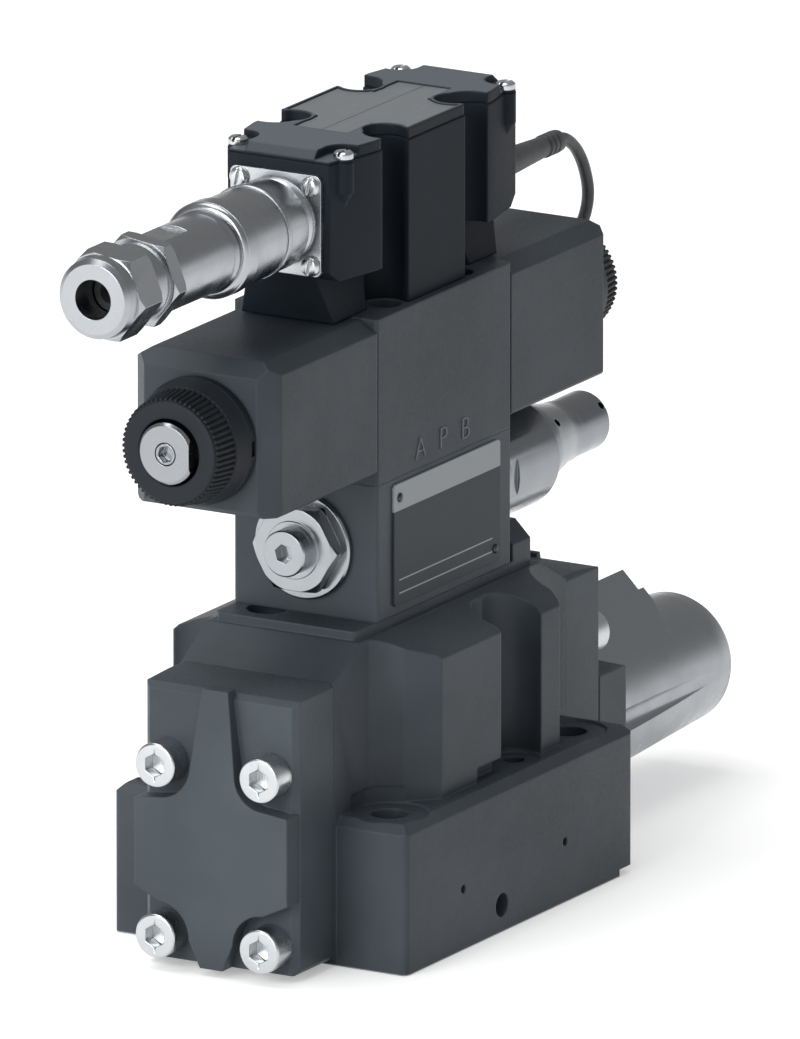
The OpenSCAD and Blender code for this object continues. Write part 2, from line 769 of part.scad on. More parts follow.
module rear_solenoid_housing() {
    color("#4a4f53") translate([0, plate_rear, 0]) mirror([0, 1,
        0]) solenoid_housing(rear_reach - plate_l / 2);
}

module coil(reach) {
    rb = tube_d / 2 + seat_gap;
    y0 = 5.2 - reach;
    y1 = -1;
    turned_y([[rb, y0], [coil_r, y0], [coil_r, y0 + 2.5], [coil_r - 1.5, y0 + 2.5], [coil_r - 1.5, y1 - 2.5],
        [coil_r, y1 - 2.5], [coil_r, y1], [rb, y1]]);
}

module front_coil() {
    color("#8a4f28") translate([0, plate_front, pz]) coil(front_reach - plate_l / 2);
}

module rear_coil() {
    color("#8a4f28") translate([0, plate_rear, pz]) mirror([0, 1, 0]) coil(rear_reach - plate_l / 2);
}

// Solenoid tube with its inner end at y = 0 and its closed outer end at y = -l
pin_r = 2;
module solenoid_tube(l) {
    r = tube_d / 2;
    pole = 14;
    difference() {
        turned_y([[pin_r + 0.1, 0], [r, 0], [r, 0.8 - l], [r - 0.8, -l], [3.4, -l], [3.4, 5 - l], [0, 5 - l],
            [0, 9 - l], [armature_r, 9 - l], [armature_r, -pole], [pin_r + 0.1, -pole]]);
        translate([r - 1.4, -l - 1, -r]) cube([5, 9, 2 * r]);
    }
}

tube_overhang = 19.6; // how far the tubes stand out of the solenoid housings
front_tube_l = front_reach + tube_overhang - plate_l / 2 + pilot_chamber;
rear_tube_l = rear_reach + tube_overhang - plate_l / 2 + pilot_chamber;
module front_tube() {
    color("#b4b9bd") translate([0, plate_front + pilot_chamber, pz]) solenoid_tube(front_tube_l);
}

module rear_tube() {
    color("#b4b9bd") translate([0, plate_rear - pilot_chamber, pz]) mirror([0, 1,
        0]) solenoid_tube(rear_tube_l);
}

// Armature and push pin; y = 0 is the inner end of the tube
module armature() {
    r = armature_r - run_gap;
    back = 14 + armature_gap;
    reach = plate_l / 2 - pilot_chamber - pilot_spool_l / 2;
    turned_y([[0, reach], [pin_r, reach], [pin_r, -back], [r - 0.5, -back], [r, -back - 0.5],
        [r, 0.5 - back - armature_l], [r - 0.5, -back - armature_l], [0, -back - armature_l]]);
}

module front_armature() {
    color("#8b9096") translate([0, plate_front + pilot_chamber, pz]) armature();
}

module rear_armature() {
    color("#8b9096") translate([0, plate_rear - pilot_chamber, pz]) mirror([0, 1, 0]) armature();
}

module pilot_spool() {
    r = pilot_spool_d / 2 - run_gap;
    half = pilot_spool_l / 2;
    waist = r * 0.55;
    color("#b9bec4") translate([0, 0, pz]) difference() {
        along_y(-half, half, r);
        for (y = [-6, 6]) translate([0, y, 0]) difference() {
            along_y(-3, 3, r + 1);
            along_y(-4, 4, waist);
        }
    }
}

module pilot_spring() {
    gap = plate_l / 2 - pilot_chamber - pilot_spool_l / 2;
    coil_spring(3.9, 1, 4, 0, gap);
}

module front_pilot_spring() {
    color("#8d9399") translate([0, plate_front + pilot_chamber, pz]) pilot_spring();
}

module rear_pilot_spring() {
    color("#8d9399") translate([0, plate_rear - pilot_chamber, pz]) mirror([0, 1, 0]) pilot_spring();
}

// Knurled coil nut: y = 0 is the face that clamps the coil, the outside points towards -Y
module coil_nut() {
    r = knob_d / 2;
    tip = r - 2.6;
    collar = 3.2;
    rib = 1.0;
    dish = 13;
    color("#2f3439") difference() {
        union() {
            turned_y([[0, 0], [r - 0.6, 0], [r, -0.6], [r, 0.6 - collar], [r - 0.6, -collar],
                [r - 1.2, -collar],
                [tip - rib, 1.6 - knob_l], [tip - rib - 1.4, -knob_l], [0, -knob_l]]);
            intersection() {
                turned_y([[0, -collar], [r - 0.3, -collar], [tip, 1.2 - knob_l], [tip - 1.2, -knob_l],
                    [0, -knob_l]]);
                rotate([90, 0, 0]) linear_extrude(knob_l) for (i = [0:knob_ribs - 1])
                    rotate(360 / knob_ribs * i) translate([0, -0.55]) square([r, 1.1]);
            }
        }
        along_y(-knob_l - 1, 1, tube_d / 2 + seat_gap);
        along_y(-knob_l - 1, 7 - knob_l, dish - 1);
        rotate([0, 30, 0]) translate([r - 1.4, -collar - 0.1, -2.2]) cube([3, collar - 1, 4.4]);
    }
}

module front_coil_nut() {
    translate([0, -front_reach, pz]) coil_nut();
}

module rear_coil_nut() {
    translate([0, rear_reach, pz]) mirror([0, 1, 0]) coil_nut();
}

module end_screw(l) {
    translate([0, -l, 0]) difference() {
        turned_y([[0, -0.6], [2.7, -0.6], [3.1, -0.2], [3.1, 4.8], [0, 4.8]]);
        hex_along_y(-2, 2.2, 3, 15);
    }
}

module tube_end_screws() {
    color("#a5aab0") {
        translate([0, plate_front + pilot_chamber, pz]) end_screw(front_tube_l);
        translate([0, plate_rear - pilot_chamber, pz]) mirror([0, 1, 0]) end_screw(rear_tube_l);
    }
}

module pilot_screws() {
    head = 5;
    seat = pilot_top - 8;
    color("#3a3d41") pilot_screw_places() difference() {
        union() {
            translate([0, 0, pad_z - 9]) cylinder(h = seat - pad_z + 9, d = screw_m5);
            translate([0, 0, seat]) cylinder(h = head, d = 8.5);
        }
        translate([0, 0, seat + 2.4]) cylinder(h = head, d = 4 / cos(30), $fn = hex);
    }
}

// Electronics housing on top of the pilot valve
module case_plan(shrink = 0) {
    e = case_end_w / 2 - shrink;
    m = case_w / 2 - shrink;
    f = case_front - shrink;
    b = case_rear - shrink;
    side = [[e, -f], [m - 0.6, -32.6], [m - 0.6, -27], [m, -17], [m, 17], [m - 0.6, 27], [m - 0.6, 32.6],
        [e, b]];
    difference() {
        polygon(concat(side, [for (i = [len(side) - 1:-1:0]) [-side[i][0], side[i][1]]]));
        for (i = [-1, 1], j = [-1, 1]) translate([i * (pilot_screw_x / 2 + 3), j * (pilot_screw_y / 2 + 2.6)])
            circle(7.2 + shrink);
        four_corners(pilot_screw_x, pilot_screw_y) circle(6 + shrink);
    }
}

cavity_floor = 16;
cavity_wall = 3;
module case_cavity() {
    slab_z(case_z + cavity_floor, case_top + 1) intersection() {
        case_plan(cavity_wall);
        square([20, 2 * case_front - 20], center = true);
    }
}

lug_r = 3;           // lugs of the cover screws
lug_h = 9;
screw_inset = 6.8;   // from the ends of the housing to the cover screws
module cover_screw_places() {
    for (x = [-1, 1], y = [screw_inset - case_front, case_rear - screw_inset])
        translate([x * (case_end_w / 2 + 0.6), y, 0]) children();
}

// Side view of the housing: a foot on the pilot valve and overhanging ends
module case_side() {
    over = 13;
    foot = 17;
    f = case_front;
    b = case_rear;
    polygon([[-foot, case_z], [foot, case_z], [foot, case_z + over], [b - 4, case_z + over],
        [b, case_z + over + 3],
        [b, case_top], [-f, case_top], [-f, case_z + over + 3], [4 - f, case_z + over],
        [-foot, case_z + over]]);
}

module case_skirts() {
    over = 13;
    foot = 15;
    f = case_front;
    b = case_rear;
    intersection() {
        slab_y(-f, b) polygon([[-foot, case_z], [foot, case_z], [foot - 4, case_z + over + 1],
            [4 - foot, case_z + over + 1]]);
        slab_x(-case_w, case_w)
            polygon([[5 - f, case_z], [b - 8, case_z], [b - 4, case_z + over], [b, case_z + over + 3],
                [b, case_top],
                [-f, case_top], [-f, case_z + over + 3], [1.5 - f, case_z + over]]);
    }
}

module electronics_housing() {
    lug_foot = 4;
    plug_bore = 11.2;
    wire_bore = 4.2;
    color("#31363c") difference() {
        union() {
            intersection() {
                slab_z(case_z, case_top) case_plan();
                union() {
                    slab_x(-case_w, case_w) case_side();
                    case_skirts();
                }
            }
            cover_screw_places() {
                translate([0, 0, case_top - lug_h]) cylinder(h = lug_h, r = lug_r);
                translate([0, 0, case_top - lug_h - lug_foot]) cylinder(h = lug_foot, r1 = 0.5, r2 = lug_r);
            }
        }
        case_cavity();
        cover_screw_places() translate([0, 0, case_top - lug_h]) cylinder(h = lug_h + 1, d = 2.6);
        translate([0, 0, plug_z]) along_y(-case_front - 1, 12 - case_front, plug_bore);
        translate([0, 0, sensor_plug_z]) along_y(case_rear - 12, case_rear + 1, wire_bore);
        socket_screw_places() along_y(-1, 8, 1.3);
    }
}

// Outline of the label plate: it follows the housing's waist and two narrow necks
label_neck = 17.6;
label_l = 59.2;
label_mid = 32;
module label_plan(shrink) {
    intersection() {
        case_plan(1 + shrink);
        union() {
            square([label_neck - 2 * shrink, label_l - 2 * shrink], center = true);
            square([case_w, label_mid], center = true);
        }
    }
}

cover_base = 0.9;    // thickness of the cover's rim under the screw heads
label_sink = 1.2;
module electronics_cover() {
    pocket_r = 6;
    front_in = 2.6;
    rear_in = 3.9;
    rim = 0.25;
    nose = 22.6;
    top = cover_top - case_top;
    color("#4a5054") difference() {
        union() {
            slab_z(case_top, case_top + cover_base) offset(delta = -rim) case_plan();
            cover_screw_places() translate([0, 0, case_top]) cylinder(h = cover_base, r = lug_r - rim);
            intersection() {
                slab_z(case_top, cover_top) offset(delta = -rim) case_plan();
                slab_x(-case_w, case_w)
                    polygon([[rim - case_front, case_top], [case_rear - rim, case_top],
                        [case_rear - rim, case_top + 0.8],
                        [case_rear - rear_in, cover_top], [front_in - case_front, cover_top],
                        [rim - case_front, case_top + 0.8]]);
            }
        }
        cover_screw_places() {
            translate([0, 0, case_top + cover_base]) cylinder(h = top, r = pocket_r);
            translate([0, 0, case_top - 1]) cylinder(h = top + 2, d = 3.3);
        }
        for (s = [-1, 1], end = [screw_inset - case_front - 20, case_rear - screw_inset])
            translate([s > 0 ? nose / 2 : -nose / 2 - 20, end, case_top + cover_base]) cube([20, 20, top]);
        slab_z(cover_top - label_sink, cover_top + 1) label_plan(0);
    }
}

module label_plate() {
    color("#74787a") slab_z(cover_top - label_sink, cover_top - label_sink + 0.8) label_plan(0.3);
}

board_w = 12;
board_l = 78;
board_t = 1.6;
module circuit_board() {
    floor_z = case_z + cavity_floor;
    color("#2c6b45") {
        slab_z(floor_z, floor_z + board_t) square([board_w, board_l], center = true);
        for (y = [-26, -4, 20]) translate([-4, y, floor_z + board_t]) cube([8, 12, 4]);
        for (y = [-14, 13]) translate([0, y - 2, floor_z + board_t]) cylinder(h = 9, d = 6);
    }
}

module cover_screws() {
    head_h = 2.1;
    head_z = case_top + cover_base;
    color("#b9bdc1") cover_screw_places() difference() {
        union() {
            translate([0, 0, case_top - lug_h + 1]) cylinder(h = lug_h, d = 2.4);
            translate([0, 0, head_z]) cylinder(h = head_h - 0.6, r = 2.9);
            translate([0, 0, head_z + head_h - 0.6]) cylinder(h = 0.6, r1 = 2.9, r2 = 2.2);
        }
        translate([-0.4, -4, head_z + 1]) cube([0.8, 8, 2]);
    }
}

// Cable plug, drawn from the electronics housing outwards along -Y
module socket_screw_places() {
    for (x = [-1, 1], z = [-1, 1])
        translate([x * (socket_flange / 2 - 3.1), -case_front,
            plug_z + z * (socket_flange / 2 - 3.1)]) children();
}

socket_t = 1.8;
ring_front = 17.5;   // distances in front of the housing's face
body_front = 74;
plug_y = -case_front;
module plug_socket() {
    neck_r = 11.4;
    color("#b5b9bc") translate([0, plug_y, plug_z]) difference() {
        union() {
            slab_y(-socket_t, 0) rounded_rect(socket_flange, socket_flange, 2);
            turned_y([[0, 0], [12.6, 0], [12.6, -socket_t - 0.8], [neck_r, -socket_t - 2], [neck_r, -15],
                [0, -15]]);
            along_y(-1, 11, 10.8);
        }
        along_y(-16, -3, 9.6);
        translate([0, -plug_y, -plug_z]) socket_screw_places() along_y(-4, 2, 1.8);
        contact_places() along_y(-5, 12, 0.9);
    }
}

module contact_places() {
    for (i = [0:6]) rotate([0, 360 / 7 * i, 0]) translate([0, 0, 6]) children();
}

module contact_pins() {
    color("#c8a24a") translate([0, plug_y, plug_z]) contact_places() turned_y([[0, -11], [0.5, -11],
        [0.8, -10],
        [0.8, 12.5], [0, 12.5]]);
}

module socket_screws() {
    color("#c9ccd0") socket_screw_places() difference() {
        turned_y([[0, -socket_t - 1.8], [2.3, -socket_t - 1.8], [2.9, -socket_t - 1], [2.9, -socket_t],
            [1.2, -socket_t],
            [1.2, 7], [0, 7]]);
        rotate([0, 12, 0]) translate([-0.4, -socket_t - 3, -4]) cube([0.8, 2, 8]);
    }
}

module coupling_ring() {
    r = plug_d / 2;
    inner = 11.4 + seat_gap;
    color("#b0b4b8") translate([0, plug_y, plug_z])
        turned_y([[inner, -5.2], [r - 0.9, -5.2], [r - 0.3, -5.9], [r - 0.3, -15.8], [r + 0.3, -16],
            [r + 0.3, -17.2],
            [r, -ring_front], [inner, -ring_front]]);
}

module plug_body() {
    r = plug_d / 2;
    collar = 35;
    rb = 11.6;
    color("#a9adb1") translate([0, plug_y, plug_z]) difference() {
        turned_y([[0, -15.2], [11.2, -15.2], [11.2, -ring_front - 0.1], [r - 0.2, -ring_front - 0.1],
            [r, 0.6 - collar],
            [r + 0.6, -collar], [r + 0.6, -collar - 4.6], [r - 0.8, -collar - 5.6], [rb + 0.8, -collar - 6],
            [rb, -collar - 9], [rb, -body_front], [0, -body_front]]);
        along_y(-body_front - 1, -20, gland_bore / 2);
        for (s = [-1, 1]) translate([-rb, -body_front - 1, s * (rb + 1.5) - 2.5]) cube([2 * rb, 16, 5]);
        contact_places() along_y(-21, -14, 1.1);
    }
}

module gland_body() {
    y = -body_front;
    color("#adb1b5") translate([0, plug_y, plug_z]) difference() {
        union() {
            intersection() {
                hex_along_y(y - 5.6, y - 0.1, gland_af, 8);
                turned_y([[0, y - 5.6], [12.5, y - 5.6], [14, y - 4.6], [14, y - 1], [12.8, y], [0, y]]);
            }
            turned_y([[0, y - 5], [11, y - 5], [11.2, y - 7], [10.4, y - 11.6], [9.2, y - 12], [9.2, y - 18],
                [0, y - 18]]);
        }
        along_y(y - 30, y + 2, gland_bore / 2);
    }
}

nut_back = 87.2;
nut_front = 99;
nose_front = 103.4;
module gland_nut() {
    color("#b2b6ba") translate([0, plug_y, plug_z]) difference() {
        union() {
            intersection() {
                hex_along_y(-nut_front, -nut_back, gland_af, 8);
                turned_y([[0, -nut_front - 0.2], [12.4, -nut_front - 0.2], [13.9, 1.6 - nut_front],
                    [13.9, -nut_back - 1],
                    [12.8, -nut_back], [0, -nut_back]]);
            }
            turned_y([[0, -nose_front], [10.2, -nose_front], [11.6, 1.2 - nose_front],
                [12.1, 0.6 - nut_front],
                [0, 0.6 - nut_front]]);
        }
        along_y(-nut_front - 9, -nut_back + 1, gland_bore / 2);
        along_y(5.2 - nut_front, -nut_back + 1, 9.2 + run_gap);
    }
}

module gland_seal() {
    color("#1c1d1f") translate([0, plug_y, plug_z])
        turned_y([[3.6, 5.6 - nut_front], [5.5, 5.6 - nut_front], [5.5, -81], [3.6, -81]]);
}

// Sensor cable from the electronics to the position sensor
sensor_plug_z = case_z + 17.6;
module sensor_plug() {
    neck = case_rear + 43.5;
    ring_l = 2.5;
    ring_r = 3.4;
    groove_r = 3;
    color("#2b2f33") translate([0, 0, sensor_plug_z])
        turned_y(concat([[0, case_rear - 11], [3.9, case_rear - 11], [3.9, case_rear + 0.2],
            [6, case_rear + 0.2],
            [6, case_rear + 3], [4.4, case_rear + 3.6], [4.2, case_rear + 17.5], [3.9, case_rear + 27.5],
            [3.1, neck]],
            [for (i = [0:2], p = [[groove_r, 0.6], [ring_r, 1.1], [ring_r, ring_l]]) [p[0],
            neck + i * ring_l + p[1]]],
            [[3.2, neck + 3 * ring_l + 1.9], [0, neck + 3 * ring_l + 1.9]]));
}

lower_plug_at = [-16.5, 128, 48];
lower_plug_l = 20;
module sensor_lower_plug() {
    color("#2b2f33") translate(lower_plug_at) rotate([0, -45, 0]) rotate_extrude()
        polygon([[0, 0.05], [8.5, 0.05], [8.5, 5], [7.4, 6], [5.6, 7], [5, 11], [3.4, 18],
            [3.2, lower_plug_l],
            [0, lower_plug_l]]);
}

cable_route = [[0, 105.6, 200.5], [0, 109.2, 200.3], [0, 115, 196.9], [0, 119.5, 191.7], [0, 122.3, 186],
    [0, 123.3, 181.2], [-0.3, 122.9, 176.6], [-1.4, 121.8, 171.6], [-4.2, 120.8, 164], [-8.5, 120, 155],
    [-14, 119.4, 144.5], [-20, 119.2, 133], [-26, 119.2, 121], [-31.5, 119.2, 109.5], [-36.4, 119.6, 98.5],
    [-39.6, 120.8, 88.5], [-40.6, 122.8, 80], [-39.4, 125.2, 73], [-36.3, 127, 67.9], [-33, 127.8, 64.5],
    [-30.75, 128, 62.25]];

function unit(v) = v / norm(v);
function route_dir(p, i) = unit(p[min(i + 1, len(p) - 1)] - p[max(i - 1, 0)]);
function across(d) = unit(cross(d, abs(d[0]) > 0.9 ? [0, 1, 0] : [1, 0, 0]));
function catmull(a, b, c, d, t) =
    0.5 * (2 * b + (c - a) * t + (2 * a - 5 * b + 4 * c - d) * t * t + (3 * b - a - 3 * c + d) * t * t * t);
function smooth_route(p, steps) = concat([for (i = [0:len(p) - 2], k = [0:steps - 1])
    catmull(p[max(i - 1, 0)], p[i], p[i + 1], p[min(i + 2, len(p) - 1)], k / steps)], [p[len(p) - 1]]);

module swept_tube(route, r, sides) {
    n = len(route);
    pts = [for (i = [0:n - 1]) let (d = route_dir(route, i), u = across(d), v = cross(d, u))
        for (k = [0:sides - 1]) route[i] + r * (cos(360 * k / sides) * u + sin(360 * k / sides) * v)];
    walls = [for (i = [0:n - 2], k = [0:sides - 1])
        [i * sides + k, (i + 1) * sides + k, (i + 1) * sides + (k + 1) % sides, i * sides + (k + 1) % sides]];
    ends = [[for (k = [0:sides - 1]) k], [for (k = [sides - 1:-1:0]) (n - 1) * sides + k]];
    polyhedron(pts, concat(walls, ends), convexity = 8);
}

module sensor_cable() {
    color("#33383a") swept_tube(smooth_route(cable_route, 2), cable_r, 8);
}

main_body();
front_end_cap();
rear_end_cap();
front_cap_screws();
rear_cap_screws();
main_spool();
front_spring_seat();
rear_spring_seat();
front_main_spring();
rear_main_spring();
port_seals();
sensor_housing();
sensor_tube();
sensor_coil();
sensor_core();
sandwich_body();
sandwich_plug();
sandwich_stem();
rear_cartridge();
reducer_spool();
reducer_spring();
name_plate();
plate_rivets();
pilot_body();
front_solenoid_housing();
rear_solenoid_housing();
front_coil();
rear_coil();
front_tube();
rear_tube();
front_armature();
rear_armature();
pilot_spool();
front_pilot_spring();
rear_pilot_spring();
front_coil_nut();
rear_coil_nut();
tube_end_screws();
pilot_screws();
electronics_housing();
electronics_cover();
circuit_board();
cover_screws();
label_plate();
plug_socket();
socket_screws();
contact_pins();
coupling_ring();
plug_body();
gland_body();
gland_seal();
gland_nut();
sensor_plug();
sensor_cable();
sensor_lower_plug();
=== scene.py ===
import json
import math
import bpy
import bmesh
from mathutils import Matrix, Vector

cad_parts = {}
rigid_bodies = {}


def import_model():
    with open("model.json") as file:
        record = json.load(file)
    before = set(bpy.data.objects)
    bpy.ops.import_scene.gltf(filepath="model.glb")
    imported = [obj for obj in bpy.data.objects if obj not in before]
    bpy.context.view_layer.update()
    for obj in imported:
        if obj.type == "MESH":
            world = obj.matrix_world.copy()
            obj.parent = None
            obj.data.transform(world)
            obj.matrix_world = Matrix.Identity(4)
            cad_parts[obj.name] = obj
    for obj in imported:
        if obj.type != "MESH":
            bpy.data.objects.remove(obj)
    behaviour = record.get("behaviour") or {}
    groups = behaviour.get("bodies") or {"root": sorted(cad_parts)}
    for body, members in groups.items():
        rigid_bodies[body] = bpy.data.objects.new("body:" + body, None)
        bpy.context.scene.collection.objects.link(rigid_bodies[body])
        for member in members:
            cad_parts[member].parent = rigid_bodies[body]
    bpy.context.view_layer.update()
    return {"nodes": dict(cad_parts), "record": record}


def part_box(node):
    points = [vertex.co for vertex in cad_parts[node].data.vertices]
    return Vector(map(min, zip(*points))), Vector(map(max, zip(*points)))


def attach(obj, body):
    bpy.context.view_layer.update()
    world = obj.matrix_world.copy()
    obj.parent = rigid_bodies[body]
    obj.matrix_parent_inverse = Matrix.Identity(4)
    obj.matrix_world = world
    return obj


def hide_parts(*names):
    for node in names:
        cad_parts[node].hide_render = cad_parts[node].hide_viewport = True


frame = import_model()
scene = bpy.context.scene
mm = 0.001

# camera: the photograph is nearly a parallel view, so a long lens far away
photoView = {"azimuth": 30, "elevation": 15, "lens": 1250, "sensor": 36, "clip": 30, "distance": 10.27,
             "target": (0, 0.0155, 0.1091)}


def makeCamera(c):
    data = bpy.data.cameras.new("photoCamera")
    data.lens = c["lens"]
    data.sensor_width = c["sensor"]
    data.clip_end = c["clip"]
    camera = bpy.data.objects.new("photoCamera", data)
    turn = math.radians(c["azimuth"])
    rise = math.radians(c["elevation"])
    away = Vector((math.sin(turn) * math.cos(rise), -math.cos(turn) * math.cos(rise), math.sin(rise)))
    camera.location = Vector(c["target"]) + away * c["distance"]
    camera.rotation_euler = away.to_track_quat("Z", "Y").to_euler()
    scene.collection.objects.link(camera)
    scene.camera = camera


makeCamera(photoView)
print("stage: camera")


# small helpers for node trees, used by materials, world and geometry nodes
def hexColor(code):
    parts = [int(code[i:i + 2], 16) / 255 for i in (1, 3, 5)]
    return tuple(c / 12.92 if c <= 0.04045 else ((c + 0.055) / 1.055) ** 2.4 for c in parts) + (1.0,)


def addNode(tree, kind, inputs=None, **settings):
    node = tree.nodes.new(kind)
    for key, value in settings.items():
        setattr(node, key, value)
    for key, value in (inputs or {}).items():
        socket = node.inputs[key]
        if isinstance(value, bpy.types.NodeSocket):
            tree.links.new(value, socket)
        else:
            socket.default_value = value
    return node


def newMaterial(name, shaderInputs):
    material = bpy.data.materials.new(name)
    material.use_nodes = True
    tree = material.node_tree
    tree.nodes.clear()
    shader = addNode(tree, "ShaderNodeBsdfPrincipled", shaderInputs)
    addNode(tree, "ShaderNodeOutputMaterial", {"Surface": shader.outputs["BSDF"]})
    place = addNode(tree, "ShaderNodeTexCoord").outputs["Object"]
    return material, tree, shader, place


def noise(tree, vector, sizeMm, detail):
    inputs = {"Vector": vector, "Scale": 1 / (sizeMm * mm), "Detail": detail}
    return addNode(tree, "ShaderNodeTexNoise", inputs).outputs["Fac"]


def blend(tree, factor, first, second):
    mix = addNode(tree, "ShaderNodeMix", {0: factor, 6: first, 7: second}, data_type="RGBA")
    return mix.outputs[2]


def remap(tree, value, low, high, fromLow=0.0, fromHigh=1.0):
    inputs = {"Value": value, "From Min": fromLow, "From Max": fromHigh, "To Min": low, "To Max": high}
    return addNode(tree, "ShaderNodeMapRange", inputs).outputs["Result"]


def maths(tree, operation, first, second=0.0):
    return addNode(tree, "ShaderNodeMath", {0: first, 1: second}, operation=operation).outputs["Value"]


def drifting(tree, source, tone, other, most, fromLow=0.3, fromHigh=0.7):
    # one tone that goes over to another by the share "most", where the noise is high
    return blend(tree, remap(tree, source, 0, most, fromLow, fromHigh), hexColor(tone), hexColor(other))


def unevenGloss(tree, shader, source, rough, uneven):
    # the roughness goes with the noise, from a little less to a little more than the finish's own
    less, more = uneven
    gloss = remap(tree, source, rough - less, rough + more, fromLow=0.3, fromHigh=0.7)
    tree.links.new(gloss, shader.inputs["Roughness"])


def roundEdges(tree, radiusMm):
    return addNode(tree, "ShaderNodeBevel", {"Radius": radiusMm * mm}, samples=6).outputs["Normal"]


def addBump(tree, shader, height, depthMm, strength, under=None):
    inputs = {"Height": height, "Distance": depthMm * mm, "Strength": strength}
    if under:
        inputs["Normal"] = under
    bump = addNode(tree, "ShaderNodeBump", inputs)
    tree.links.new(bump.outputs["Normal"], shader.inputs["Normal"])
    return bump.outputs["Normal"]


# sand-cast iron under a satin two-component paint: fine sand grain shows through, edges are a little
# lighter, partly where the paint draws thin and partly as a painted highlight along every edge, and the
# colour drifts slightly over a casting
castSkin = {"rough": 0.42, "uneven": (0.05, 0.09), "gloss": 0.2, "driftMm": 38, "drift": 0.35,
            "grainDepth": 0.03, "waveMm": 7, "waveDepth": 0.12, "edgeMm": 0.9, "edgeShare": 0.55,
            "edgeFrom": 0.8, "edgeTo": 0.99, "bare": "#9b9ea1"}


def castPaint(name, paint, thin, grainMm=0.9, bareBelow=None):
    c = castSkin
    material, tree, shader, place = newMaterial(name, {"Roughness": c["rough"], "IOR": 1.5,
                                                       "Specular IOR Level": c["gloss"]})
    color = drifting(tree, noise(tree, place, c["driftMm"], 3), paint, thin, c["drift"], fromLow=0.35)
    soft = roundEdges(tree, c["edgeMm"])
    flat = addNode(tree, "ShaderNodeNewGeometry").outputs["Normal"]
    facing = addNode(tree, "ShaderNodeVectorMath", {0: soft, 1: flat}, operation="DOT_PRODUCT")
    # the edges take the thin colour: partly paint drawn thin, partly a painted highlight along the edges
    edge = remap(tree, facing.outputs["Value"], c["edgeShare"], 0, c["edgeFrom"], c["edgeTo"])
    color = blend(tree, edge, color, hexColor(thin))
    grain = noise(tree, place, grainMm, 4)
    unevenGloss(tree, shader, grain, c["rough"], c["uneven"])
    wave = noise(tree, place, c["waveMm"], 2)
    under = addBump(tree, shader, wave, c["waveDepth"], strength=0.5, under=soft)
    addBump(tree, shader, grain, c["grainDepth"], strength=0.8, under=under)
    if bareBelow is not None:
        # the mounting face is milled bare
        height = addNode(tree, "ShaderNodeSeparateXYZ", {"Vector": place}).outputs["Z"]
        bare = maths(tree, "LESS_THAN", height, bareBelow * mm)
        color = blend(tree, bare, color, hexColor(c["bare"]))
        tree.links.new(bare, shader.inputs["Metallic"])
    tree.links.new(color, shader.inputs["Base Color"])
    return material


# turned, then zinc or nickel plated steel: fine lines run round the axis on the sides and in rings on
# the faces, and the plating is a little duller in places
turnedSkin = {"uneven": (0.05, 0.08), "stainMm": 9, "stain": 0.3, "dull": "#7d8184", "edgeMm": 0.3}


def turnedMetal(name, metal, axisZ, rough, lineMm=0.22, depth=0.006):
    c = turnedSkin
    material, tree, shader, place = newMaterial(name, {"Metallic": 1.0, "Roughness": rough})
    centred = addNode(tree, "ShaderNodeMapping", {"Vector": place, "Location": (0, 0, -axisZ * mm)})
    split = addNode(tree, "ShaderNodeSeparateXYZ", {"Vector": centred.outputs["Vector"]}).outputs
    flat = addNode(tree, "ShaderNodeCombineXYZ", {"X": split["X"], "Z": split["Z"]}).outputs["Vector"]
    radius = addNode(tree, "ShaderNodeVectorMath", {0: flat}, operation="LENGTH").outputs["Value"]
    along = maths(tree, "ADD", radius, split["Y"])
    lines = addNode(tree, "ShaderNodeTexNoise", {"W": along, "Scale": 1 / (lineMm * mm), "Detail": 2.0},
                    noise_dimensions="1D").outputs["Fac"]
    stain = noise(tree, place, c["stainMm"], 3)
    unevenGloss(tree, shader, stain, rough, c["uneven"])
    color = drifting(tree, stain, metal, c["dull"], c["stain"], fromLow=0, fromHigh=1)
    tree.links.new(color, shader.inputs["Base Color"])
    addBump(tree, shader, lines, depth, strength=0.6, under=roundEdges(tree, c["edgeMm"]))
    return material


# rolled, blasted or ground steel without a turning direction, with faint stains
plainSkin = {"uneven": (0.06, 0.09), "stainMm": 8, "stain": 0.25, "dull": "#75797c", "edgeMm": 0.25,
             "depth": 0.006}


def plainMetal(name, metal, rough, grainMm=0.5):
    c = plainSkin
    material, tree, shader, place = newMaterial(name, {"Metallic": 1.0, "Roughness": rough})
    stain = noise(tree, place, c["stainMm"], 3)
    unevenGloss(tree, shader, stain, rough, c["uneven"])
    color = drifting(tree, stain, metal, c["dull"], c["stain"], fromLow=0, fromHigh=1)
    tree.links.new(color, shader.inputs["Base Color"])
    grain = noise(tree, place, grainMm, 3)
    addBump(tree, shader, grain, c["depth"], strength=0.6, under=roundEdges(tree, c["edgeMm"]))
    return material


# moulded glass-filled plastic: a fine spark-eroded texture, slightly uneven gloss
mouldSkin = {"uneven": (0.07, 0.1), "grainMm": 0.35, "depth": 0.02, "flowMm": 26, "flow": 0.22}


def mouldedPlastic(name, tone, lift, rough, gloss=0.3, edgeMm=0.6, paintedTopLight=None):
    c = mouldSkin
    material, tree, shader, place = newMaterial(name, {"Roughness": rough, "IOR": 1.5,
                                                       "Specular IOR Level": gloss})
    soft = roundEdges(tree, edgeMm)
    color = drifting(tree, noise(tree, place, c["flowMm"], 3), tone, lift, c["flow"])
    if paintedTopLight:
        # painted top light: faces that look up are painted lighter, as if lit from above
        upward = addNode(tree, "ShaderNodeSeparateXYZ", {"Vector": soft}).outputs["Z"]
        color = blend(tree, remap(tree, upward, 0, 1, fromLow=0.35, fromHigh=0.95), color, hexColor(paintedTopLight))
    tree.links.new(color, shader.inputs["Base Color"])
    grain = noise(tree, place, c["grainMm"], 3)
    unevenGloss(tree, shader, grain, rough, c["uneven"])
    addBump(tree, shader, grain, c["depth"], strength=0.7, under=soft)
    return material


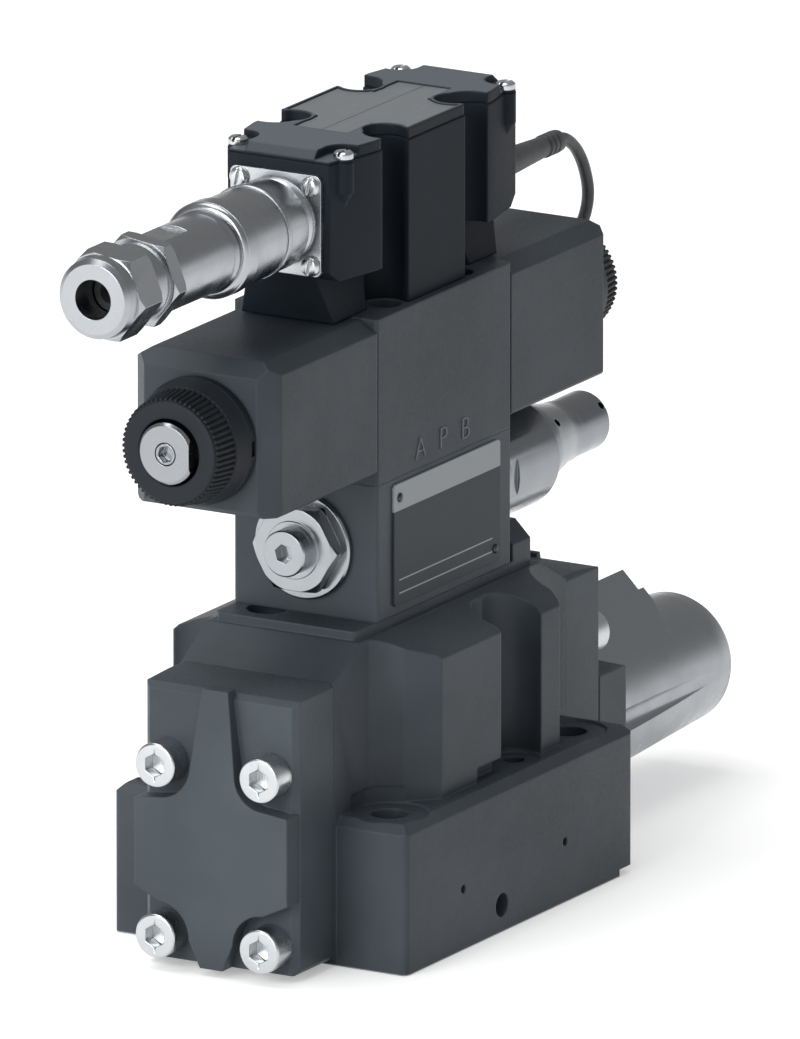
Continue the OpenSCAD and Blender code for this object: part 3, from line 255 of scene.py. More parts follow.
# extruded or moulded rubber: matt, with a faint bloom
rubberSkin = {"bloomMm": 4, "bloom": 0.3, "pale": "#4a4d50", "grainMm": 0.4, "depth": 0.01}


def rubber(name, tone, rough=0.6):
    c = rubberSkin
    material, tree, shader, place = newMaterial(name, {"Roughness": rough, "IOR": 1.5, "Sheen Weight": 0.15,
                                                       "Sheen Roughness": 0.5})
    color = drifting(tree, noise(tree, place, c["bloomMm"], 3), tone, c["pale"], c["bloom"])
    tree.links.new(color, shader.inputs["Base Color"])
    addBump(tree, shader, noise(tree, place, c["grainMm"], 2), c["depth"], strength=0.6)
    return material


# etched and lacquered aluminium foil, brushed along the valve, with one printed centre line
foilSkin = {"dark": "#74797d", "light": "#7f8488", "line": "#3b3f43", "lineHalf": 0.18, "streakMm": 0.3,
            "stretch": 0.03, "depth": 0.004}


def labelFoil(name, c):
    material, tree, shader, place = newMaterial(name, {"Metallic": 0.35, "Roughness": 0.42})
    brushed = addNode(tree, "ShaderNodeMapping", {"Vector": place, "Scale": (1, c["stretch"], 1)})
    streak = noise(tree, brushed.outputs["Vector"], c["streakMm"], 2)
    across = addNode(tree, "ShaderNodeSeparateXYZ", {"Vector": place}).outputs["X"]
    line = maths(tree, "LESS_THAN", maths(tree, "ABSOLUTE", across), c["lineHalf"] * mm)
    color = drifting(tree, streak, c["dark"], c["light"], 1)
    tree.links.new(blend(tree, line, color, hexColor(c["line"])), shader.inputs["Base Color"])
    addBump(tree, shader, streak, c["depth"], strength=0.5)
    return material


# painted steel plate with a bare, brushed writing field and two ruled lines
def namePlateFinish(name, plate):
    material, tree, shader, place = newMaterial(name, {"Roughness": 0.48, "Specular IOR Level": 0.2})
    split = addNode(tree, "ShaderNodeSeparateXYZ", {"Vector": place})
    height = split.outputs["Z"]
    along = split.outputs["Y"]

    def band(value, low, high):
        return maths(tree, "MULTIPLY", maths(tree, "GREATER_THAN", value, low * mm),
                     maths(tree, "LESS_THAN", value, high * mm))

    grain = noise(tree, place, plate["grainMm"], 3)
    color = drifting(tree, grain, plate["paint"], plate["thin"], 0.3)
    field = maths(tree, "GREATER_THAN", height, plate["stripFrom"] * mm)
    color = blend(tree, field, color, hexColor(plate["strip"]))
    for low in plate["ruled"]:
        ruled = maths(tree, "MULTIPLY", band(height, low, low + plate["ruledWidth"]),
                      band(along, *plate["ruledEnds"]))
        color = blend(tree, ruled, color, hexColor(plate["strip"]))
    tree.links.new(color, shader.inputs["Base Color"])
    addBump(tree, shader, grain, plate["grainDepth"], strength=0.5)
    return material


plugAxisZ, pilotAxisZ, plateAxisZ, mainAxisZ = 212.6, 158.7, 114.25, 31.5
paint = {
    "mainCast": castPaint("cast_main", "#383e44", "#535a61", bareBelow=0.3),
    "capCast": castPaint("cast_cap", "#3e454b", "#5b6369"),
    "plateCast": castPaint("cast_plate", "#3a4046", "#555d63", grainMm=0.7),
    "pilotCast": castPaint("cast_pilot", "#343a40", "#4f565c", grainMm=0.8),
    # the port letters are painted lighter than the casting around them: a painted highlight on the raised
    # letters
    "letters": castPaint("cast_letters_painted_highlight", "#6a7177", "#7b8288", grainMm=0.5),
}
metal = {
    "screw": plainMetal("zinc_screw", "#cdd0d2", 0.24),
    "plug": turnedMetal("nickel_plug", "#adb0b4", plugAxisZ, 0.24),
    "socket": plainMetal("nickel_socket", "#bcbfc2", 0.26, 0.3),
    "tube": turnedMetal("zinc_tube", "#9a9da1", pilotAxisZ, 0.22),
    "hexPlug": turnedMetal("zinc_hex_plug", "#a6aaae", plateAxisZ, 0.2),
    "cartridge": turnedMetal("steel_cartridge", "#909498", plateAxisZ, 0.2),
    "sensor": turnedMetal("steel_sensor", "#a3a7ab", mainAxisZ, 0.3, lineMm=0.35),
    "spool": turnedMetal("ground_spool", "#c3c6c8", mainAxisZ, 0.16, lineMm=0.15, depth=0.002),
    "spring": plainMetal("spring_wire", "#8f9396", 0.35),
    "black": plainMetal("black_oxide", "#3c3f43", 0.38),
    "copper": plainMetal("copper_wire", "#b06a3c", 0.35),
    "gold": plainMetal("gold_contact", "#cfa957", 0.25),
}
plastic = {
    "nut": mouldedPlastic("nut_polyamide", "#1c2025", "#2e343a", 0.5, gloss=0.2),
    "case": mouldedPlastic("case_plastic", "#191f26", "#262e37", 0.55, gloss=0.12, edgeMm=0.9),
    # the cover's upward faces are painted lighter: a painted top light
    "cover": mouldedPlastic("cover_plastic", "#191f26", "#262e37", 0.5, gloss=0.14, edgeMm=1.2,
                            paintedTopLight="#565d63"),
    "board": mouldedPlastic("board_laminate", "#2c6b45", "#3a7a55", 0.4),
    "cable": rubber("cable_jacket", "#24282a", 0.45),
    "boot": rubber("boot_rubber", "#22262a", 0.5),
    "seal": rubber("seal_rubber", "#1a1b1d"),
}
foil = labelFoil("label_foil", foilSkin)
print("stage: materials")


# sensor cable between the electronics and the position sensor
sensorCable = {"diameter": 3.6, "steps": 6, "route": [
    (0, 105.6, 200.5), (0, 109.2, 200.3), (0, 115, 196.9), (0, 119.5, 191.7), (0, 122.3, 186),
    (0, 123.3, 181.2), (-0.3, 122.9, 176.6), (-1.4, 121.8, 171.6), (-4.2, 120.8, 164), (-8.5, 120, 155),
    (-14, 119.4, 144.5), (-20, 119.2, 133), (-26, 119.2, 121), (-31.5, 119.2, 109.5), (-36.4, 119.6, 98.5),
    (-39.6, 120.8, 88.5), (-40.6, 122.8, 80), (-39.4, 125.2, 73), (-36.3, 127, 67.9), (-33, 127.8, 64.5),
    (-30.75, 128, 62.25)]}


def smoothRoute(points, steps):
    # a curve through every point, each stretch cut into equal steps
    route = [Vector(p) * mm for p in points]
    result = []
    for i in range(len(route) - 1):
        a, b, c, d = route[max(i - 1, 0)], route[i], route[i + 1], route[min(i + 2, len(route) - 1)]
        for k in range(steps):
            t = k / steps
            result.append(0.5 * (2 * b + (c - a) * t + (2 * a - 5 * b + 4 * c - d) * t * t
                                 + (3 * b - a - 3 * c + d) * t ** 3))
    return result + [route[-1]]


def makeCable(c):
    points = smoothRoute(c["route"], c["steps"])
    curve = bpy.data.curves.new("sensorCable", "CURVE")
    curve.dimensions = "3D"
    curve.bevel_depth = c["diameter"] / 2 * mm
    curve.bevel_resolution = 3
    curve.use_fill_caps = True
    spline = curve.splines.new("POLY")
    spline.points.add(len(points) - 1)
    for spot, place in zip(spline.points, points):
        spot.co = (*place, 1)
    spline.use_smooth = True
    curve.materials.append(plastic["cable"])
    cable = bpy.data.objects.new("sensorCable", curve)
    scene.collection.objects.link(cable)
    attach(cable, "valve")
    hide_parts("sensor_cable")
    return cable, points


cable, cablePoints = makeCable(sensorCable)


# mesh helpers; an edge that turns by less than sharpEdge degrees is shaded round. A round takes "share" of
# the room to the next edges, isn't made under "least" mm, and doesn't count an edge of its face that is
# up to "near" edges away and runs nearly "parallel" to it, as the next facet of a curve does
sharpEdge = 28
rounding = {"least": 0.04, "share": 0.42, "parallel": 0.85, "near": 4}
cleaning = {"weldMm": 0.01, "flatDegrees": 0.6}


def merged(source, joinFlats=True):
    bm = bmesh.new()
    bm.from_mesh(source.data)
    bmesh.ops.remove_doubles(bm, verts=bm.verts, dist=cleaning["weldMm"] * mm)
    if joinFlats:
        flat = math.radians(cleaning["flatDegrees"])
        bmesh.ops.dissolve_limit(bm, angle_limit=flat, verts=bm.verts, edges=bm.edges)
    return bm


def freshMesh(bm, name):
    mesh = bpy.data.meshes.new(name)
    bm.to_mesh(mesh)
    bm.free()
    return mesh


def freshObject(name, data):
    item = bpy.data.objects.new(name, data)
    scene.collection.objects.link(item)
    return item


def bakedMesh(holder):
    bpy.context.view_layer.update()
    solid = bpy.data.meshes.new_from_object(holder.evaluated_get(bpy.context.evaluated_depsgraph_get()))
    old = holder.data
    bpy.data.objects.remove(holder)
    if old and old.users == 0:
        bpy.data.batch_remove([old])
    return solid


def smoothed(bm, sharpAngle=sharpEdge):
    # faceted cylinders shade round, real edges stay sharp in the mesh
    for face in bm.faces:
        face.smooth = True
    for edge in bm.edges:
        edge.smooth = edge.calc_face_angle(0) < math.radians(sharpAngle)
    return freshMesh(bm, "smooth")


def pointGap(point, first, second):
    line = second - first
    share = max(0.0, min(1.0, (point - first).dot(line) / max(line.length_squared, 1e-18)))
    return (point - first - line * share).length


def edgeRoom(edge):
    # how wide an edge may be rounded before it meets the other edges of its two faces
    room = 1.0
    first, second = edge.verts[0].co, edge.verts[1].co
    line = (second - first).normalized()
    for face in edge.link_faces:
        edges = [loop.edge for loop in face.loops]
        count = len(edges)
        here = edges.index(edge)
        for there, other in enumerate(edges):
            steps = min((there - here) % count, (here - there) % count)
            start, end = other.verts[0].co, other.verts[1].co
            slant = abs(line.dot((end - start).normalized()))
            if steps == 0 or (steps <= rounding["near"] and slant > rounding["parallel"]):
                continue
            if set(edge.verts) & set(other.verts):
                gap = (end - start).length * math.sqrt(max(0.0, 1 - slant * slant))
            else:
                gap = min(pointGap(first, start, end), pointGap(second, start, end),
                          pointGap(start, first, second), pointGap(end, first, second))
            room = min(room, rounding["share"] * gap)
    return room


def softened(bm, widthMm, segments=3):
    # real edges get a small round, narrower where there is little room
    layers = bm.edges.layers.float
    weight = layers.get("bevel_weight_edge") or layers.new("bevel_weight_edge")
    width = widthMm * mm
    for face in bm.faces:
        face.smooth = True
    for edge in bm.edges:
        if len(edge.link_faces) == 2 and edge.calc_face_angle(0) > math.radians(sharpEdge):
            share = min(1.0, edgeRoom(edge) / width)
            if share * width < rounding["least"] * mm:
                edge.smooth = False
            else:
                edge[weight] = share
    holder = freshObject("holder", freshMesh(bm, "soft"))
    bevel = holder.modifiers.new("edges", "BEVEL")
    bevel.width = width
    bevel.segments = segments
    bevel.limit_method = "WEIGHT"
    bevel.use_clamp_overlap = False
    holder.modifiers.new("faces", "WEIGHTED_NORMAL").keep_sharp = True
    return bakedMesh(holder)


def addPiece(name, mesh, material, body, slotName, *nodes):
    mesh.name = name
    mesh.materials.clear()
    mesh.materials.append(material)
    piece = freshObject(name, mesh)
    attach(piece, body)
    if nodes:
        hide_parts(*nodes)


# pieces that keep the edges of the solids and get new shading and a finish, whose material rounds the
# edges a little; "sharp" is an angle in degrees that takes the place of sharpEdge
shaded = {
    "main_body": {"finish": paint["mainCast"], "slot": "cast_body"},
    "front_end_cap": {"finish": paint["capCast"], "slot": "cast_body"},
    "rear_end_cap": {"finish": paint["capCast"], "slot": "cast_body"},
    "sandwich_body": {"finish": paint["plateCast"], "slot": "cast_pilot"},
    "pilot_body": {"finish": paint["pilotCast"], "slot": "cast_pilot"},
    "front_solenoid_housing": {"finish": paint["pilotCast"], "slot": "cast_pilot"},
    "rear_solenoid_housing": {"finish": paint["pilotCast"], "slot": "cast_pilot"},
    "electronics_housing": {"finish": plastic["case"], "slot": "case_plastic"},
    "electronics_cover": {"finish": plastic["cover"], "slot": "case_plastic"},
    "label_plate": {"finish": foil, "slot": "label_foil"},
    "plug_socket": {"finish": metal["socket"], "slot": "plug_metal", "sharp": 14},
    "coupling_ring": {"finish": metal["plug"], "slot": "plug_metal", "sharp": 14},
    "plug_body": {"finish": metal["plug"], "slot": "plug_metal", "sharp": 14},
    "gland_body": {"finish": metal["plug"], "slot": "plug_metal", "sharp": 14},
    "gland_nut": {"finish": metal["plug"], "slot": "plug_metal", "sharp": 14},
    "sensor_housing": {"finish": metal["sensor"], "slot": "sensor_metal"},
    "sandwich_plug": {"finish": metal["hexPlug"], "slot": "bright_steel"},
    "sandwich_stem": {"finish": metal["hexPlug"], "slot": "bright_steel"},
    "rear_cartridge": {"finish": metal["cartridge"], "slot": "bright_steel"},
    "front_tube": {"finish": metal["tube"], "slot": "bright_steel"},
    "rear_tube": {"finish": metal["tube"], "slot": "bright_steel"},
}
# pieces whose edges are rounded in the mesh: width of the round in mm
rounded = {
    "pilot_screws": {"width": 0.25, "finish": metal["black"], "slot": "black_steel"},
    "cover_screws": {"width": 0.15, "finish": metal["screw"], "slot": "bright_steel"},
    "sensor_plug": {"width": 0.2, "finish": plastic["boot"], "slot": "cable_rubber"},
    "sensor_lower_plug": {"width": 0.3, "finish": plastic["boot"], "slot": "cable_rubber"},
}
# the plug body's collar ends in a flat step in the photograph, where the solids have a short cone:
# (radius, distance along the plug) pairs in mm, old and new
plugCollar = {"ringToFront": 5.2, "reach": 0.08, "steps": [
    ((14.2, -39.6), (14.1, -39.9)), ((12.8, -40.6), (13.5, -40.5)), ((12.4, -41.0), (11.7, -40.55))]}
# the cartridge's hexagon is shorter in the photograph: distances behind the plate in mm
cartridgeHex = {"cartridge": 83.3, "old": 36.0, "new": 18.2, "reach": 0.15}


def stepCollar(bm, c):
    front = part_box("coupling_ring")[1].y / mm + c["ringToFront"]
    for vert in bm.verts:
        x, y, z = vert.co.x / mm, vert.co.y / mm - front, vert.co.z / mm - plugAxisZ
        radius = math.hypot(x, z)
        for (oldRadius, oldY), (newRadius, newY) in c["steps"]:
            if abs(radius - oldRadius) < c["reach"] and abs(y - oldY) < c["reach"]:
                share = newRadius / radius
                vert.co = Vector((x * share, newY + front, z * share + plugAxisZ)) * mm


def shortenHex(bm, c):
    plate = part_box("rear_cartridge")[1].y / mm - c["cartridge"]
    for vert in bm.verts:
        if abs(vert.co.y / mm - plate - c["old"]) < c["reach"]:
            vert.co.y = (plate + c["new"]) * mm


bodyOf = {node: body for body, nodes in frame["record"]["behaviour"]["bodies"].items() for node in nodes}
for node, look in shaded.items():
    bm = merged(frame["nodes"][node], False)
    if node == "plug_body":
        stepCollar(bm, plugCollar)
    if node == "rear_cartridge":
        shortenHex(bm, cartridgeHex)
    mesh = smoothed(bm, look.get("sharp", sharpEdge))
    addPiece(node + ".soft", mesh, look["finish"], bodyOf[node], look["slot"], node)
for node, look in rounded.items():
    mesh = softened(merged(frame["nodes"][node]), look["width"])
    addPiece(node + ".soft", mesh, look["finish"], bodyOf[node], look["slot"], node)
print("stage: castings and turned pieces")

# pieces that stay as the solids give them
innerFinish = {
    "main_spool": metal["spool"], "reducer_spool": metal["spool"], "pilot_spool": metal["spool"],
    "front_spring_seat": metal["spring"], "rear_spring_seat": metal["spring"],
    "front_main_spring": metal["spring"], "rear_main_spring": metal["spring"],
    "reducer_spring": metal["spring"], "front_pilot_spring": metal["spring"],
    "rear_pilot_spring": metal["spring"], "sensor_tube": metal["spring"], "sensor_core": metal["spring"],
    "front_armature": metal["spring"], "rear_armature": metal["spring"],
    "sensor_coil": metal["copper"], "front_coil": metal["copper"], "rear_coil": metal["copper"],
    "circuit_board": plastic["board"], "contact_pins": metal["gold"],
    "gland_seal": plastic["seal"], "port_seals": plastic["seal"],
}
for node, finish in innerFinish.items():
    for slot in frame["nodes"][node].material_slots:
        slot.material = finish
print("stage: inner pieces")


# geometry nodes
def newTree(name, sockets):
    tree = bpy.data.node_groups.new(name, "GeometryNodeTree")
    tree.interface.new_socket("Geometry", in_out="INPUT", socket_type="NodeSocketGeometry")
    for label, kind in sockets.items():
        tree.interface.new_socket(label, in_out="INPUT", socket_type="NodeSocket" + kind)
    tree.interface.new_socket("Geometry", in_out="OUTPUT", socket_type="NodeSocketGeometry")
    given = addNode(tree, "NodeGroupInput").outputs
    return tree, given


def endTree(tree, geometry, material):
    real = addNode(tree, "GeometryNodeRealizeInstances", {"Geometry": geometry}).outputs["Geometry"]
    done = addNode(tree, "GeometryNodeSetMaterial", {"Geometry": real, "Material": material})
    addNode(tree, "NodeGroupOutput", {"Geometry": done.outputs["Geometry"]})
    return tree


def placedOn(tree, points, copy, turn=None):
    inputs = {"Points": points, "Instance": copy}
    if turn:
        inputs["Rotation"] = turn
    return addNode(tree, "GeometryNodeInstanceOnPoints", inputs).outputs["Instances"]


def grow(tree, values, base=None):
    holder = freshObject("grower", base or bpy.data.meshes.new("empty"))
    modifier = holder.modifiers.new("grow", "NODES")
    modifier.node_group = tree
    for item in tree.interface.items_tree:
        if item.in_out == "INPUT" and item.name in values:
            modifier[item.identifier] = values[item.name]
    return bakedMesh(holder)


def turnedBody(profile, sides=64):
    # revolves (radius, y) pairs in mm about Y; the profile is closed, or starts and ends on the axis
    bm = bmesh.new()
    angles = [2 * math.pi * k / sides for k in range(sides)]
    rings = []
    for radius, y in profile:
        if radius == 0:
            rings.append([bm.verts.new((0, y * mm, 0))])
        else:
            rings.append([bm.verts.new((radius * mm * math.cos(a), y * mm, radius * mm * math.sin(a)))
                          for a in angles])
    for low, high in zip(rings, rings[1:]):
        for k in range(sides):
            corners = [low[k % len(low)], low[(k + 1) % len(low)],
                       high[(k + 1) % len(high)], high[k % len(high)]]
            corners = list(dict.fromkeys(corners))
            if len(corners) > 2:
                bm.faces.new(corners)
    bmesh.ops.recalc_face_normals(bm, faces=bm.faces)
    return bm


def rimOf(radius, face, rim, way=1):
    # a rounded rim: (inset from the radius, distance from the face) pairs
    return [(radius - inset, face + way * depth) for inset, depth in rim]


toolPast = 1  # how far a hexagon tool stands out of the body that it cuts, in mm


def cutAway(bm, tool):
    body = freshObject("body", freshMesh(bm, "body"))
    cutter = freshObject("cutter", freshMesh(tool, "cutter"))
    cut = body.modifiers.new("cut", "BOOLEAN")
    cut.operation = "DIFFERENCE"
    cut.solver = "EXACT"
    cut.object = cutter
    mesh = bakedMesh(body)
    bpy.data.objects.remove(cutter)
    result = bmesh.new()
    result.from_mesh(mesh)
    return result


def hexTool(acrossFlats, y0, y1, turn=0):
    # a hexagon bar along Y, from y0 to y1
    tool = bmesh.new()
    corner = acrossFlats / math.sqrt(3) * mm
    bmesh.ops.create_cone(tool, cap_ends=True, segments=6, radius1=corner, radius2=corner,
                          depth=(y1 - y0) * mm)
    place = (Matrix.Translation((0, (y0 + y1) / 2 * mm, 0)) @ Matrix.Rotation(math.radians(turn), 4, "Y")
             @ Matrix.Rotation(math.pi / 2, 4, "X"))
    bmesh.ops.transform(tool, matrix=place, verts=tool.verts)
    return tool


def blockTool(size, place):
    tool = bmesh.new()
    bmesh.ops.create_cube(tool, size=1)
    scale = Matrix.Diagonal((*(side * mm for side in size), 1))
    bmesh.ops.transform(tool, matrix=place @ scale, verts=tool.verts)
    return tool


# screws: one template on a grid of four places that stands in XZ
def screwTree(name, material):
    tree, given = newTree(name, {"Screw": "Object", "Spacing Across": "Float", "Spacing Up": "Float",
                                 "Centre": "Vector", "Turn": "Rotation"})
    grid = addNode(tree, "GeometryNodeMeshGrid", {
        "Size X": given["Spacing Across"], "Size Y": given["Spacing Up"], "Vertices X": 2, "Vertices Y": 2})
    stood = addNode(tree, "GeometryNodeTransform", {
        "Geometry": grid.outputs["Mesh"], "Translation": given["Centre"], "Rotation": (math.pi / 2, 0, 0)})
    screw = addNode(tree, "GeometryNodeObjectInfo", {"Object": given["Screw"]}).outputs["Geometry"]
    placed = placedOn(tree, stood.outputs["Geometry"], screw, given["Turn"])
    return endTree(tree, placed, material)


# socket head screws of the end caps
capScrew = {"across": 34.0, "up": 50.1, "centreZ": 35.15, "frontY": -86.0, "rearY": 87.6, "head": 13.0,
            "height": 8.0, "rim": [(0.7, 0), (0.2, 0.25), (0, 0.7)], "grip": 34.8, "shank": 8.0,
            "lead": 1.0, "socket": 6.0, "socketDepth": 4.4, "soft": 0.18}


def makeCapScrew(c):
    h, r, s, grip = c["height"], c["head"] / 2, c["shank"] / 2, c["grip"]
    bm = turnedBody([(0, -h)] + rimOf(r, -h, c["rim"])
                    + [(r, 0), (s, 0), (s, grip - c["lead"]), (s - c["lead"], grip), (0, grip)])
    socket = hexTool(c["socket"], -h - toolPast, -h + c["socketDepth"])
    return softened(cutAway(bm, socket), c["soft"], 2)


template = freshObject("capScrewTemplate", makeCapScrew(capScrew))
screws = screwTree("capScrewGrid", metal["screw"])
for end, turn in (("front", 0), ("rear", math.pi)):
    mesh = grow(screws, {"Screw": template, "Spacing Across": capScrew["across"] * mm,
                         "Spacing Up": capScrew["up"] * mm, "Turn": (0, 0, turn),
                         "Centre": (0, capScrew[end + "Y"] * mm, capScrew["centreZ"] * mm)})
    addPiece(end + "CapScrews", mesh, metal["screw"], "valve", "bright_steel", end + "_cap_screws")
bpy.data.objects.remove(template)
print("stage: cap screws")

# small pan head screws of the plug socket; their slot is cut by a block of this size on the head's face
panScrew = {"spacing": 23.3, "y": -54.8, "head": 5.8, "height": 1.8, "length": 8.0, "shank": 2.4,
            "rim": [(1.1, 0), (0.5, 0.25), (0.1, 0.75), (0, 1.1)], "slot": (0.8, 1.8, 9), "slotTurn": 12,
            "sides": 40, "soft": 0.1}


def makePanScrew(c):
    r, h, s, length = c["head"] / 2, c["height"], c["shank"] / 2, c["length"]
    bm = turnedBody([(0, -h)] + rimOf(r, -h, c["rim"]) + [(r, 0), (s, 0), (s, length), (0, length)],
                    c["sides"])
    turn = Matrix.Rotation(math.radians(c["slotTurn"]), 4, "Y")
    slot = blockTool(c["slot"], Matrix.Translation((0, -h * mm, 0)) @ turn)
    return softened(cutAway(bm, slot), c["soft"], 2)


template = freshObject("panScrewTemplate", makePanScrew(panScrew))
mesh = grow(screwTree("panScrewGrid", metal["screw"]), {
    "Screw": template, "Spacing Across": panScrew["spacing"] * mm, "Spacing Up": panScrew["spacing"] * mm,
    "Centre": (0, panScrew["y"] * mm, plugAxisZ * mm), "Turn": (0, 0, 0)})
addPiece("plugSocketScrews", mesh, metal["screw"], "valve", "bright_steel", "socket_screws")
bpy.data.objects.remove(template)
print("stage: socket screws")

# knurled coil nuts: a collar with a small notch for a hook spanner, a smooth band, and round ribs that
# run down the cone; "ribEnds" is how far the ribs reach into the band and stop before the tip
coilNut = {"radius": 18.5, "length": 17.6, "collar": 2.9, "band": 8.8, "taper": 1.45, "ribs": 60,
           "ribRadius": 0.58, "ribDepth": 0.7, "ribSink": 0.15, "ribEnds": (0.3, 0.9), "tip": 15.75,
           "bore": 9.3, "dish": 9.7, "dishDepth": 7.0, "rim": [(0.8, 0), (0.2, 0.25), (0, 0.8)],
           "collarFall": (0.45, 0.6), "tipRim": [(0, 1.0), (0.3, 0.3), (1.0, 0)],
           "dishRim": [(-0.3, 0), (0, 0.3)], "notch": (3.0, 2.0, 4.4), "notchAt": 0.6,
           "sides": 96, "soft": 0.12}
# the nuts and end screws are made for the front end, and turned round for the rear one
endTurn = {"front": Matrix.Identity(4), "rear": Matrix.Rotation(math.pi, 4, "X")}


def knurlTree(name, material):
    tree, given = newTree(name, {"Ribs": "Int", "Rib Radius": "Float", "Rib Start": "Vector",
                                 "Rib End": "Vector"})
    line = addNode(tree, "GeometryNodeCurvePrimitiveLine", {
        "Start": given["Rib Start"], "End": given["Rib End"]}).outputs["Curve"]
    circle = addNode(tree, "GeometryNodeCurvePrimitiveCircle", {
        "Resolution": 8, "Radius": given["Rib Radius"]}).outputs["Curve"]
    rib = addNode(tree, "GeometryNodeCurveToMesh", {
        "Curve": line, "Profile Curve": circle, "Fill Caps": True}).outputs["Mesh"]
    rib = addNode(tree, "GeometryNodeSetShadeSmooth", {"Geometry": rib}).outputs["Geometry"]
    seats = addNode(tree, "GeometryNodePoints", {"Count": given["Ribs"]}).outputs["Points"]
    index = addNode(tree, "GeometryNodeInputIndex").outputs["Index"]
    angle = maths(tree, "MULTIPLY", index, maths(tree, "DIVIDE", 2 * math.pi, given["Ribs"]))
    turn = addNode(tree, "ShaderNodeCombineXYZ", {"Y": angle}).outputs["Vector"]
    rotation = addNode(tree, "FunctionNodeEulerToRotation", {"Euler": turn}).outputs["Rotation"]
    joined = addNode(tree, "GeometryNodeJoinGeometry")
    tree.links.new(placedOn(tree, seats, rib, rotation), joined.inputs["Geometry"])
    tree.links.new(given["Geometry"], joined.inputs["Geometry"])
    return endTree(tree, joined.outputs["Geometry"], material)


def makeCoilNut(c):
    r, l, bore, dish = c["radius"], c["length"], c["bore"], c["dish"]
    collar, band = -c["collar"], -c["band"]
    shoulder = r - c["taper"]
    seat = shoulder - c["ribSink"]
    core, tip = seat - c["ribDepth"], c["tip"] - c["ribDepth"]
    floor = c["dishDepth"] - l
    fallIn, fallDown = c["collarFall"]
    profile = [(bore, 0)] + rimOf(r, 0, c["rim"], -1)
    profile += [(r, collar), (r - fallIn, collar - fallDown), (shoulder, band), (core, band)]
    profile += rimOf(tip, -l, c["tipRim"]) + rimOf(dish, -l, c["dishRim"])
    profile += [(dish, floor), (bore, floor), (bore, 0)]
    notch = blockTool(c["notch"], Matrix.Translation((r * mm, collar * c["notchAt"] * mm, 0)))
    base = softened(cutAway(turnedBody(profile, c["sides"]), notch), c["soft"], 2)
    rib, (fromBand, fromTip) = c["ribRadius"], c["ribEnds"]
    return grow(knurlTree("knurl", plastic["nut"]), {
        "Ribs": c["ribs"], "Rib Radius": rib * mm,
        "Rib Start": ((seat - rib) * mm, (fromBand + band) * mm, 0),
        "Rib End": ((c["tip"] - rib) * mm, (fromTip - l) * mm, 0)}, base)


for end, turn in endTurn.items():
    mesh = makeCoilNut(coilNut)
    low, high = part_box(end + "_coil_nut")
    seat = high.y if end == "front" else low.y
    mesh.transform(Matrix.Translation((0, seat, pilotAxisZ * mm)) @ turn)
    addPiece(end + "CoilNut", mesh, plastic["nut"], end + "_coil_nut", "nut_plastic", end + "_coil_nut")
print("stage: coil nuts")

# hexagon socket screws that close the tube ends, flush with the discs
endScrew = {"radius": 3.1, "length": 4.8, "proud": 0.02, "rim": [(0.08, 0), (0, 0.08)], "socket": 4.3,
            "depth": 2.6, "turn": 15, "sides": 48, "soft": 0.12}


def makeEndScrews(c):
    pair = bmesh.new()
    length = c["length"]
    for end, turn in endTurn.items():
        bm = turnedBody([(0, -c["proud"])] + rimOf(c["radius"], -c["proud"], c["rim"])
                        + [(c["radius"], length), (0, length)], c["sides"])
        mesh = softened(cutAway(bm, hexTool(c["socket"], -toolPast, c["depth"], c["turn"])), c["soft"], 2)
        low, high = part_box(end + "_tube")
        tip = low.y if end == "front" else high.y
        mesh.transform(Matrix.Translation((0, tip, pilotAxisZ * mm)) @ turn)
        pair.from_mesh(mesh)
    return freshMesh(pair, "endScrews")


addPiece("tubeEndScrews", makeEndScrews(endScrew), metal["tube"], "valve", "bright_steel",
         "tube_end_screws")
print("stage: tube end screws")

# name plate with a light writing strip at the top and two dome rivets in opposite corners
namePlate = {"paint": "#31373c", "thin": "#42494f", "strip": "#9a9fa3", "stripFrom": 124.8, "grainMm": 0.6,
             "grainDepth": 0.006, "ruled": (100.3, 104.2), "ruledEnds": (-27.0, 26.0), "ruledWidth": 0.4,
             "soft": 0.15}
rivet = {"radius": 1.4, "rise": 0.75, "steps": 5, "sides": 24}
mesh = softened(merged(frame["nodes"]["name_plate"]), namePlate["soft"])
plateFinish = namePlateFinish("name_plate_finish", namePlate)
addPiece("namePlate", mesh, plateFinish, "valve", "label_foil", "name_plate")


def rivetTree(name, material):
    tree, given = newTree(name, {"Rivet": "Object", "First": "Vector", "Second": "Vector"})
    pair = addNode(tree, "GeometryNodeMeshLine", {
        "Count": 2, "Start Location": given["First"], "Offset": given["Second"]}, mode="END_POINTS")
    dome = addNode(tree, "GeometryNodeObjectInfo", {"Object": given["Rivet"]}).outputs["Geometry"]
    return endTree(tree, placedOn(tree, pair.outputs["Mesh"], dome), material)


def makeRivet(c):
    # a dome that looks along X, closed at the back
    angles = [math.pi / 2 * k / c["steps"] for k in range(c["steps"])]
    arc = [(c["radius"] * math.cos(a), c["rise"] * math.sin(a)) for a in angles]
    bm = turnedBody([(0, 0)] + arc + [(0, c["rise"])], c["sides"])
    bmesh.ops.transform(bm, matrix=Matrix.Rotation(-math.pi / 2, 4, "Z"), verts=bm.verts)
    for face in bm.faces:
        face.smooth = True
    return freshMesh(bm, "rivet")


low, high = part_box("plate_rivets")
template = freshObject("rivetTemplate", makeRivet(rivet))
inset = rivet["radius"] * mm
mesh = grow(rivetTree("rivets", metal["black"]), {
    "Rivet": template, "First": (low.x, low.y + inset, high.z - inset),
    "Second": (low.x, high.y - inset, low.z + inset)})
addPiece("plateRivets", mesh, metal["black"], "valve", "black_steel", "plate_rivets")
bpy.data.objects.remove(template)
print("stage: name plate")

# raised port letters cast on the pilot valve's side; "capShare" is a capital's height in the font
portLetters = {"letters": {"A": -13.7, "P": -0.9, "B": 11.7}, "height": 6.8, "capShare": 0.72, "rise": 0.3,
               "thin": 0.22, "z": 137.0, "x": 23.5}


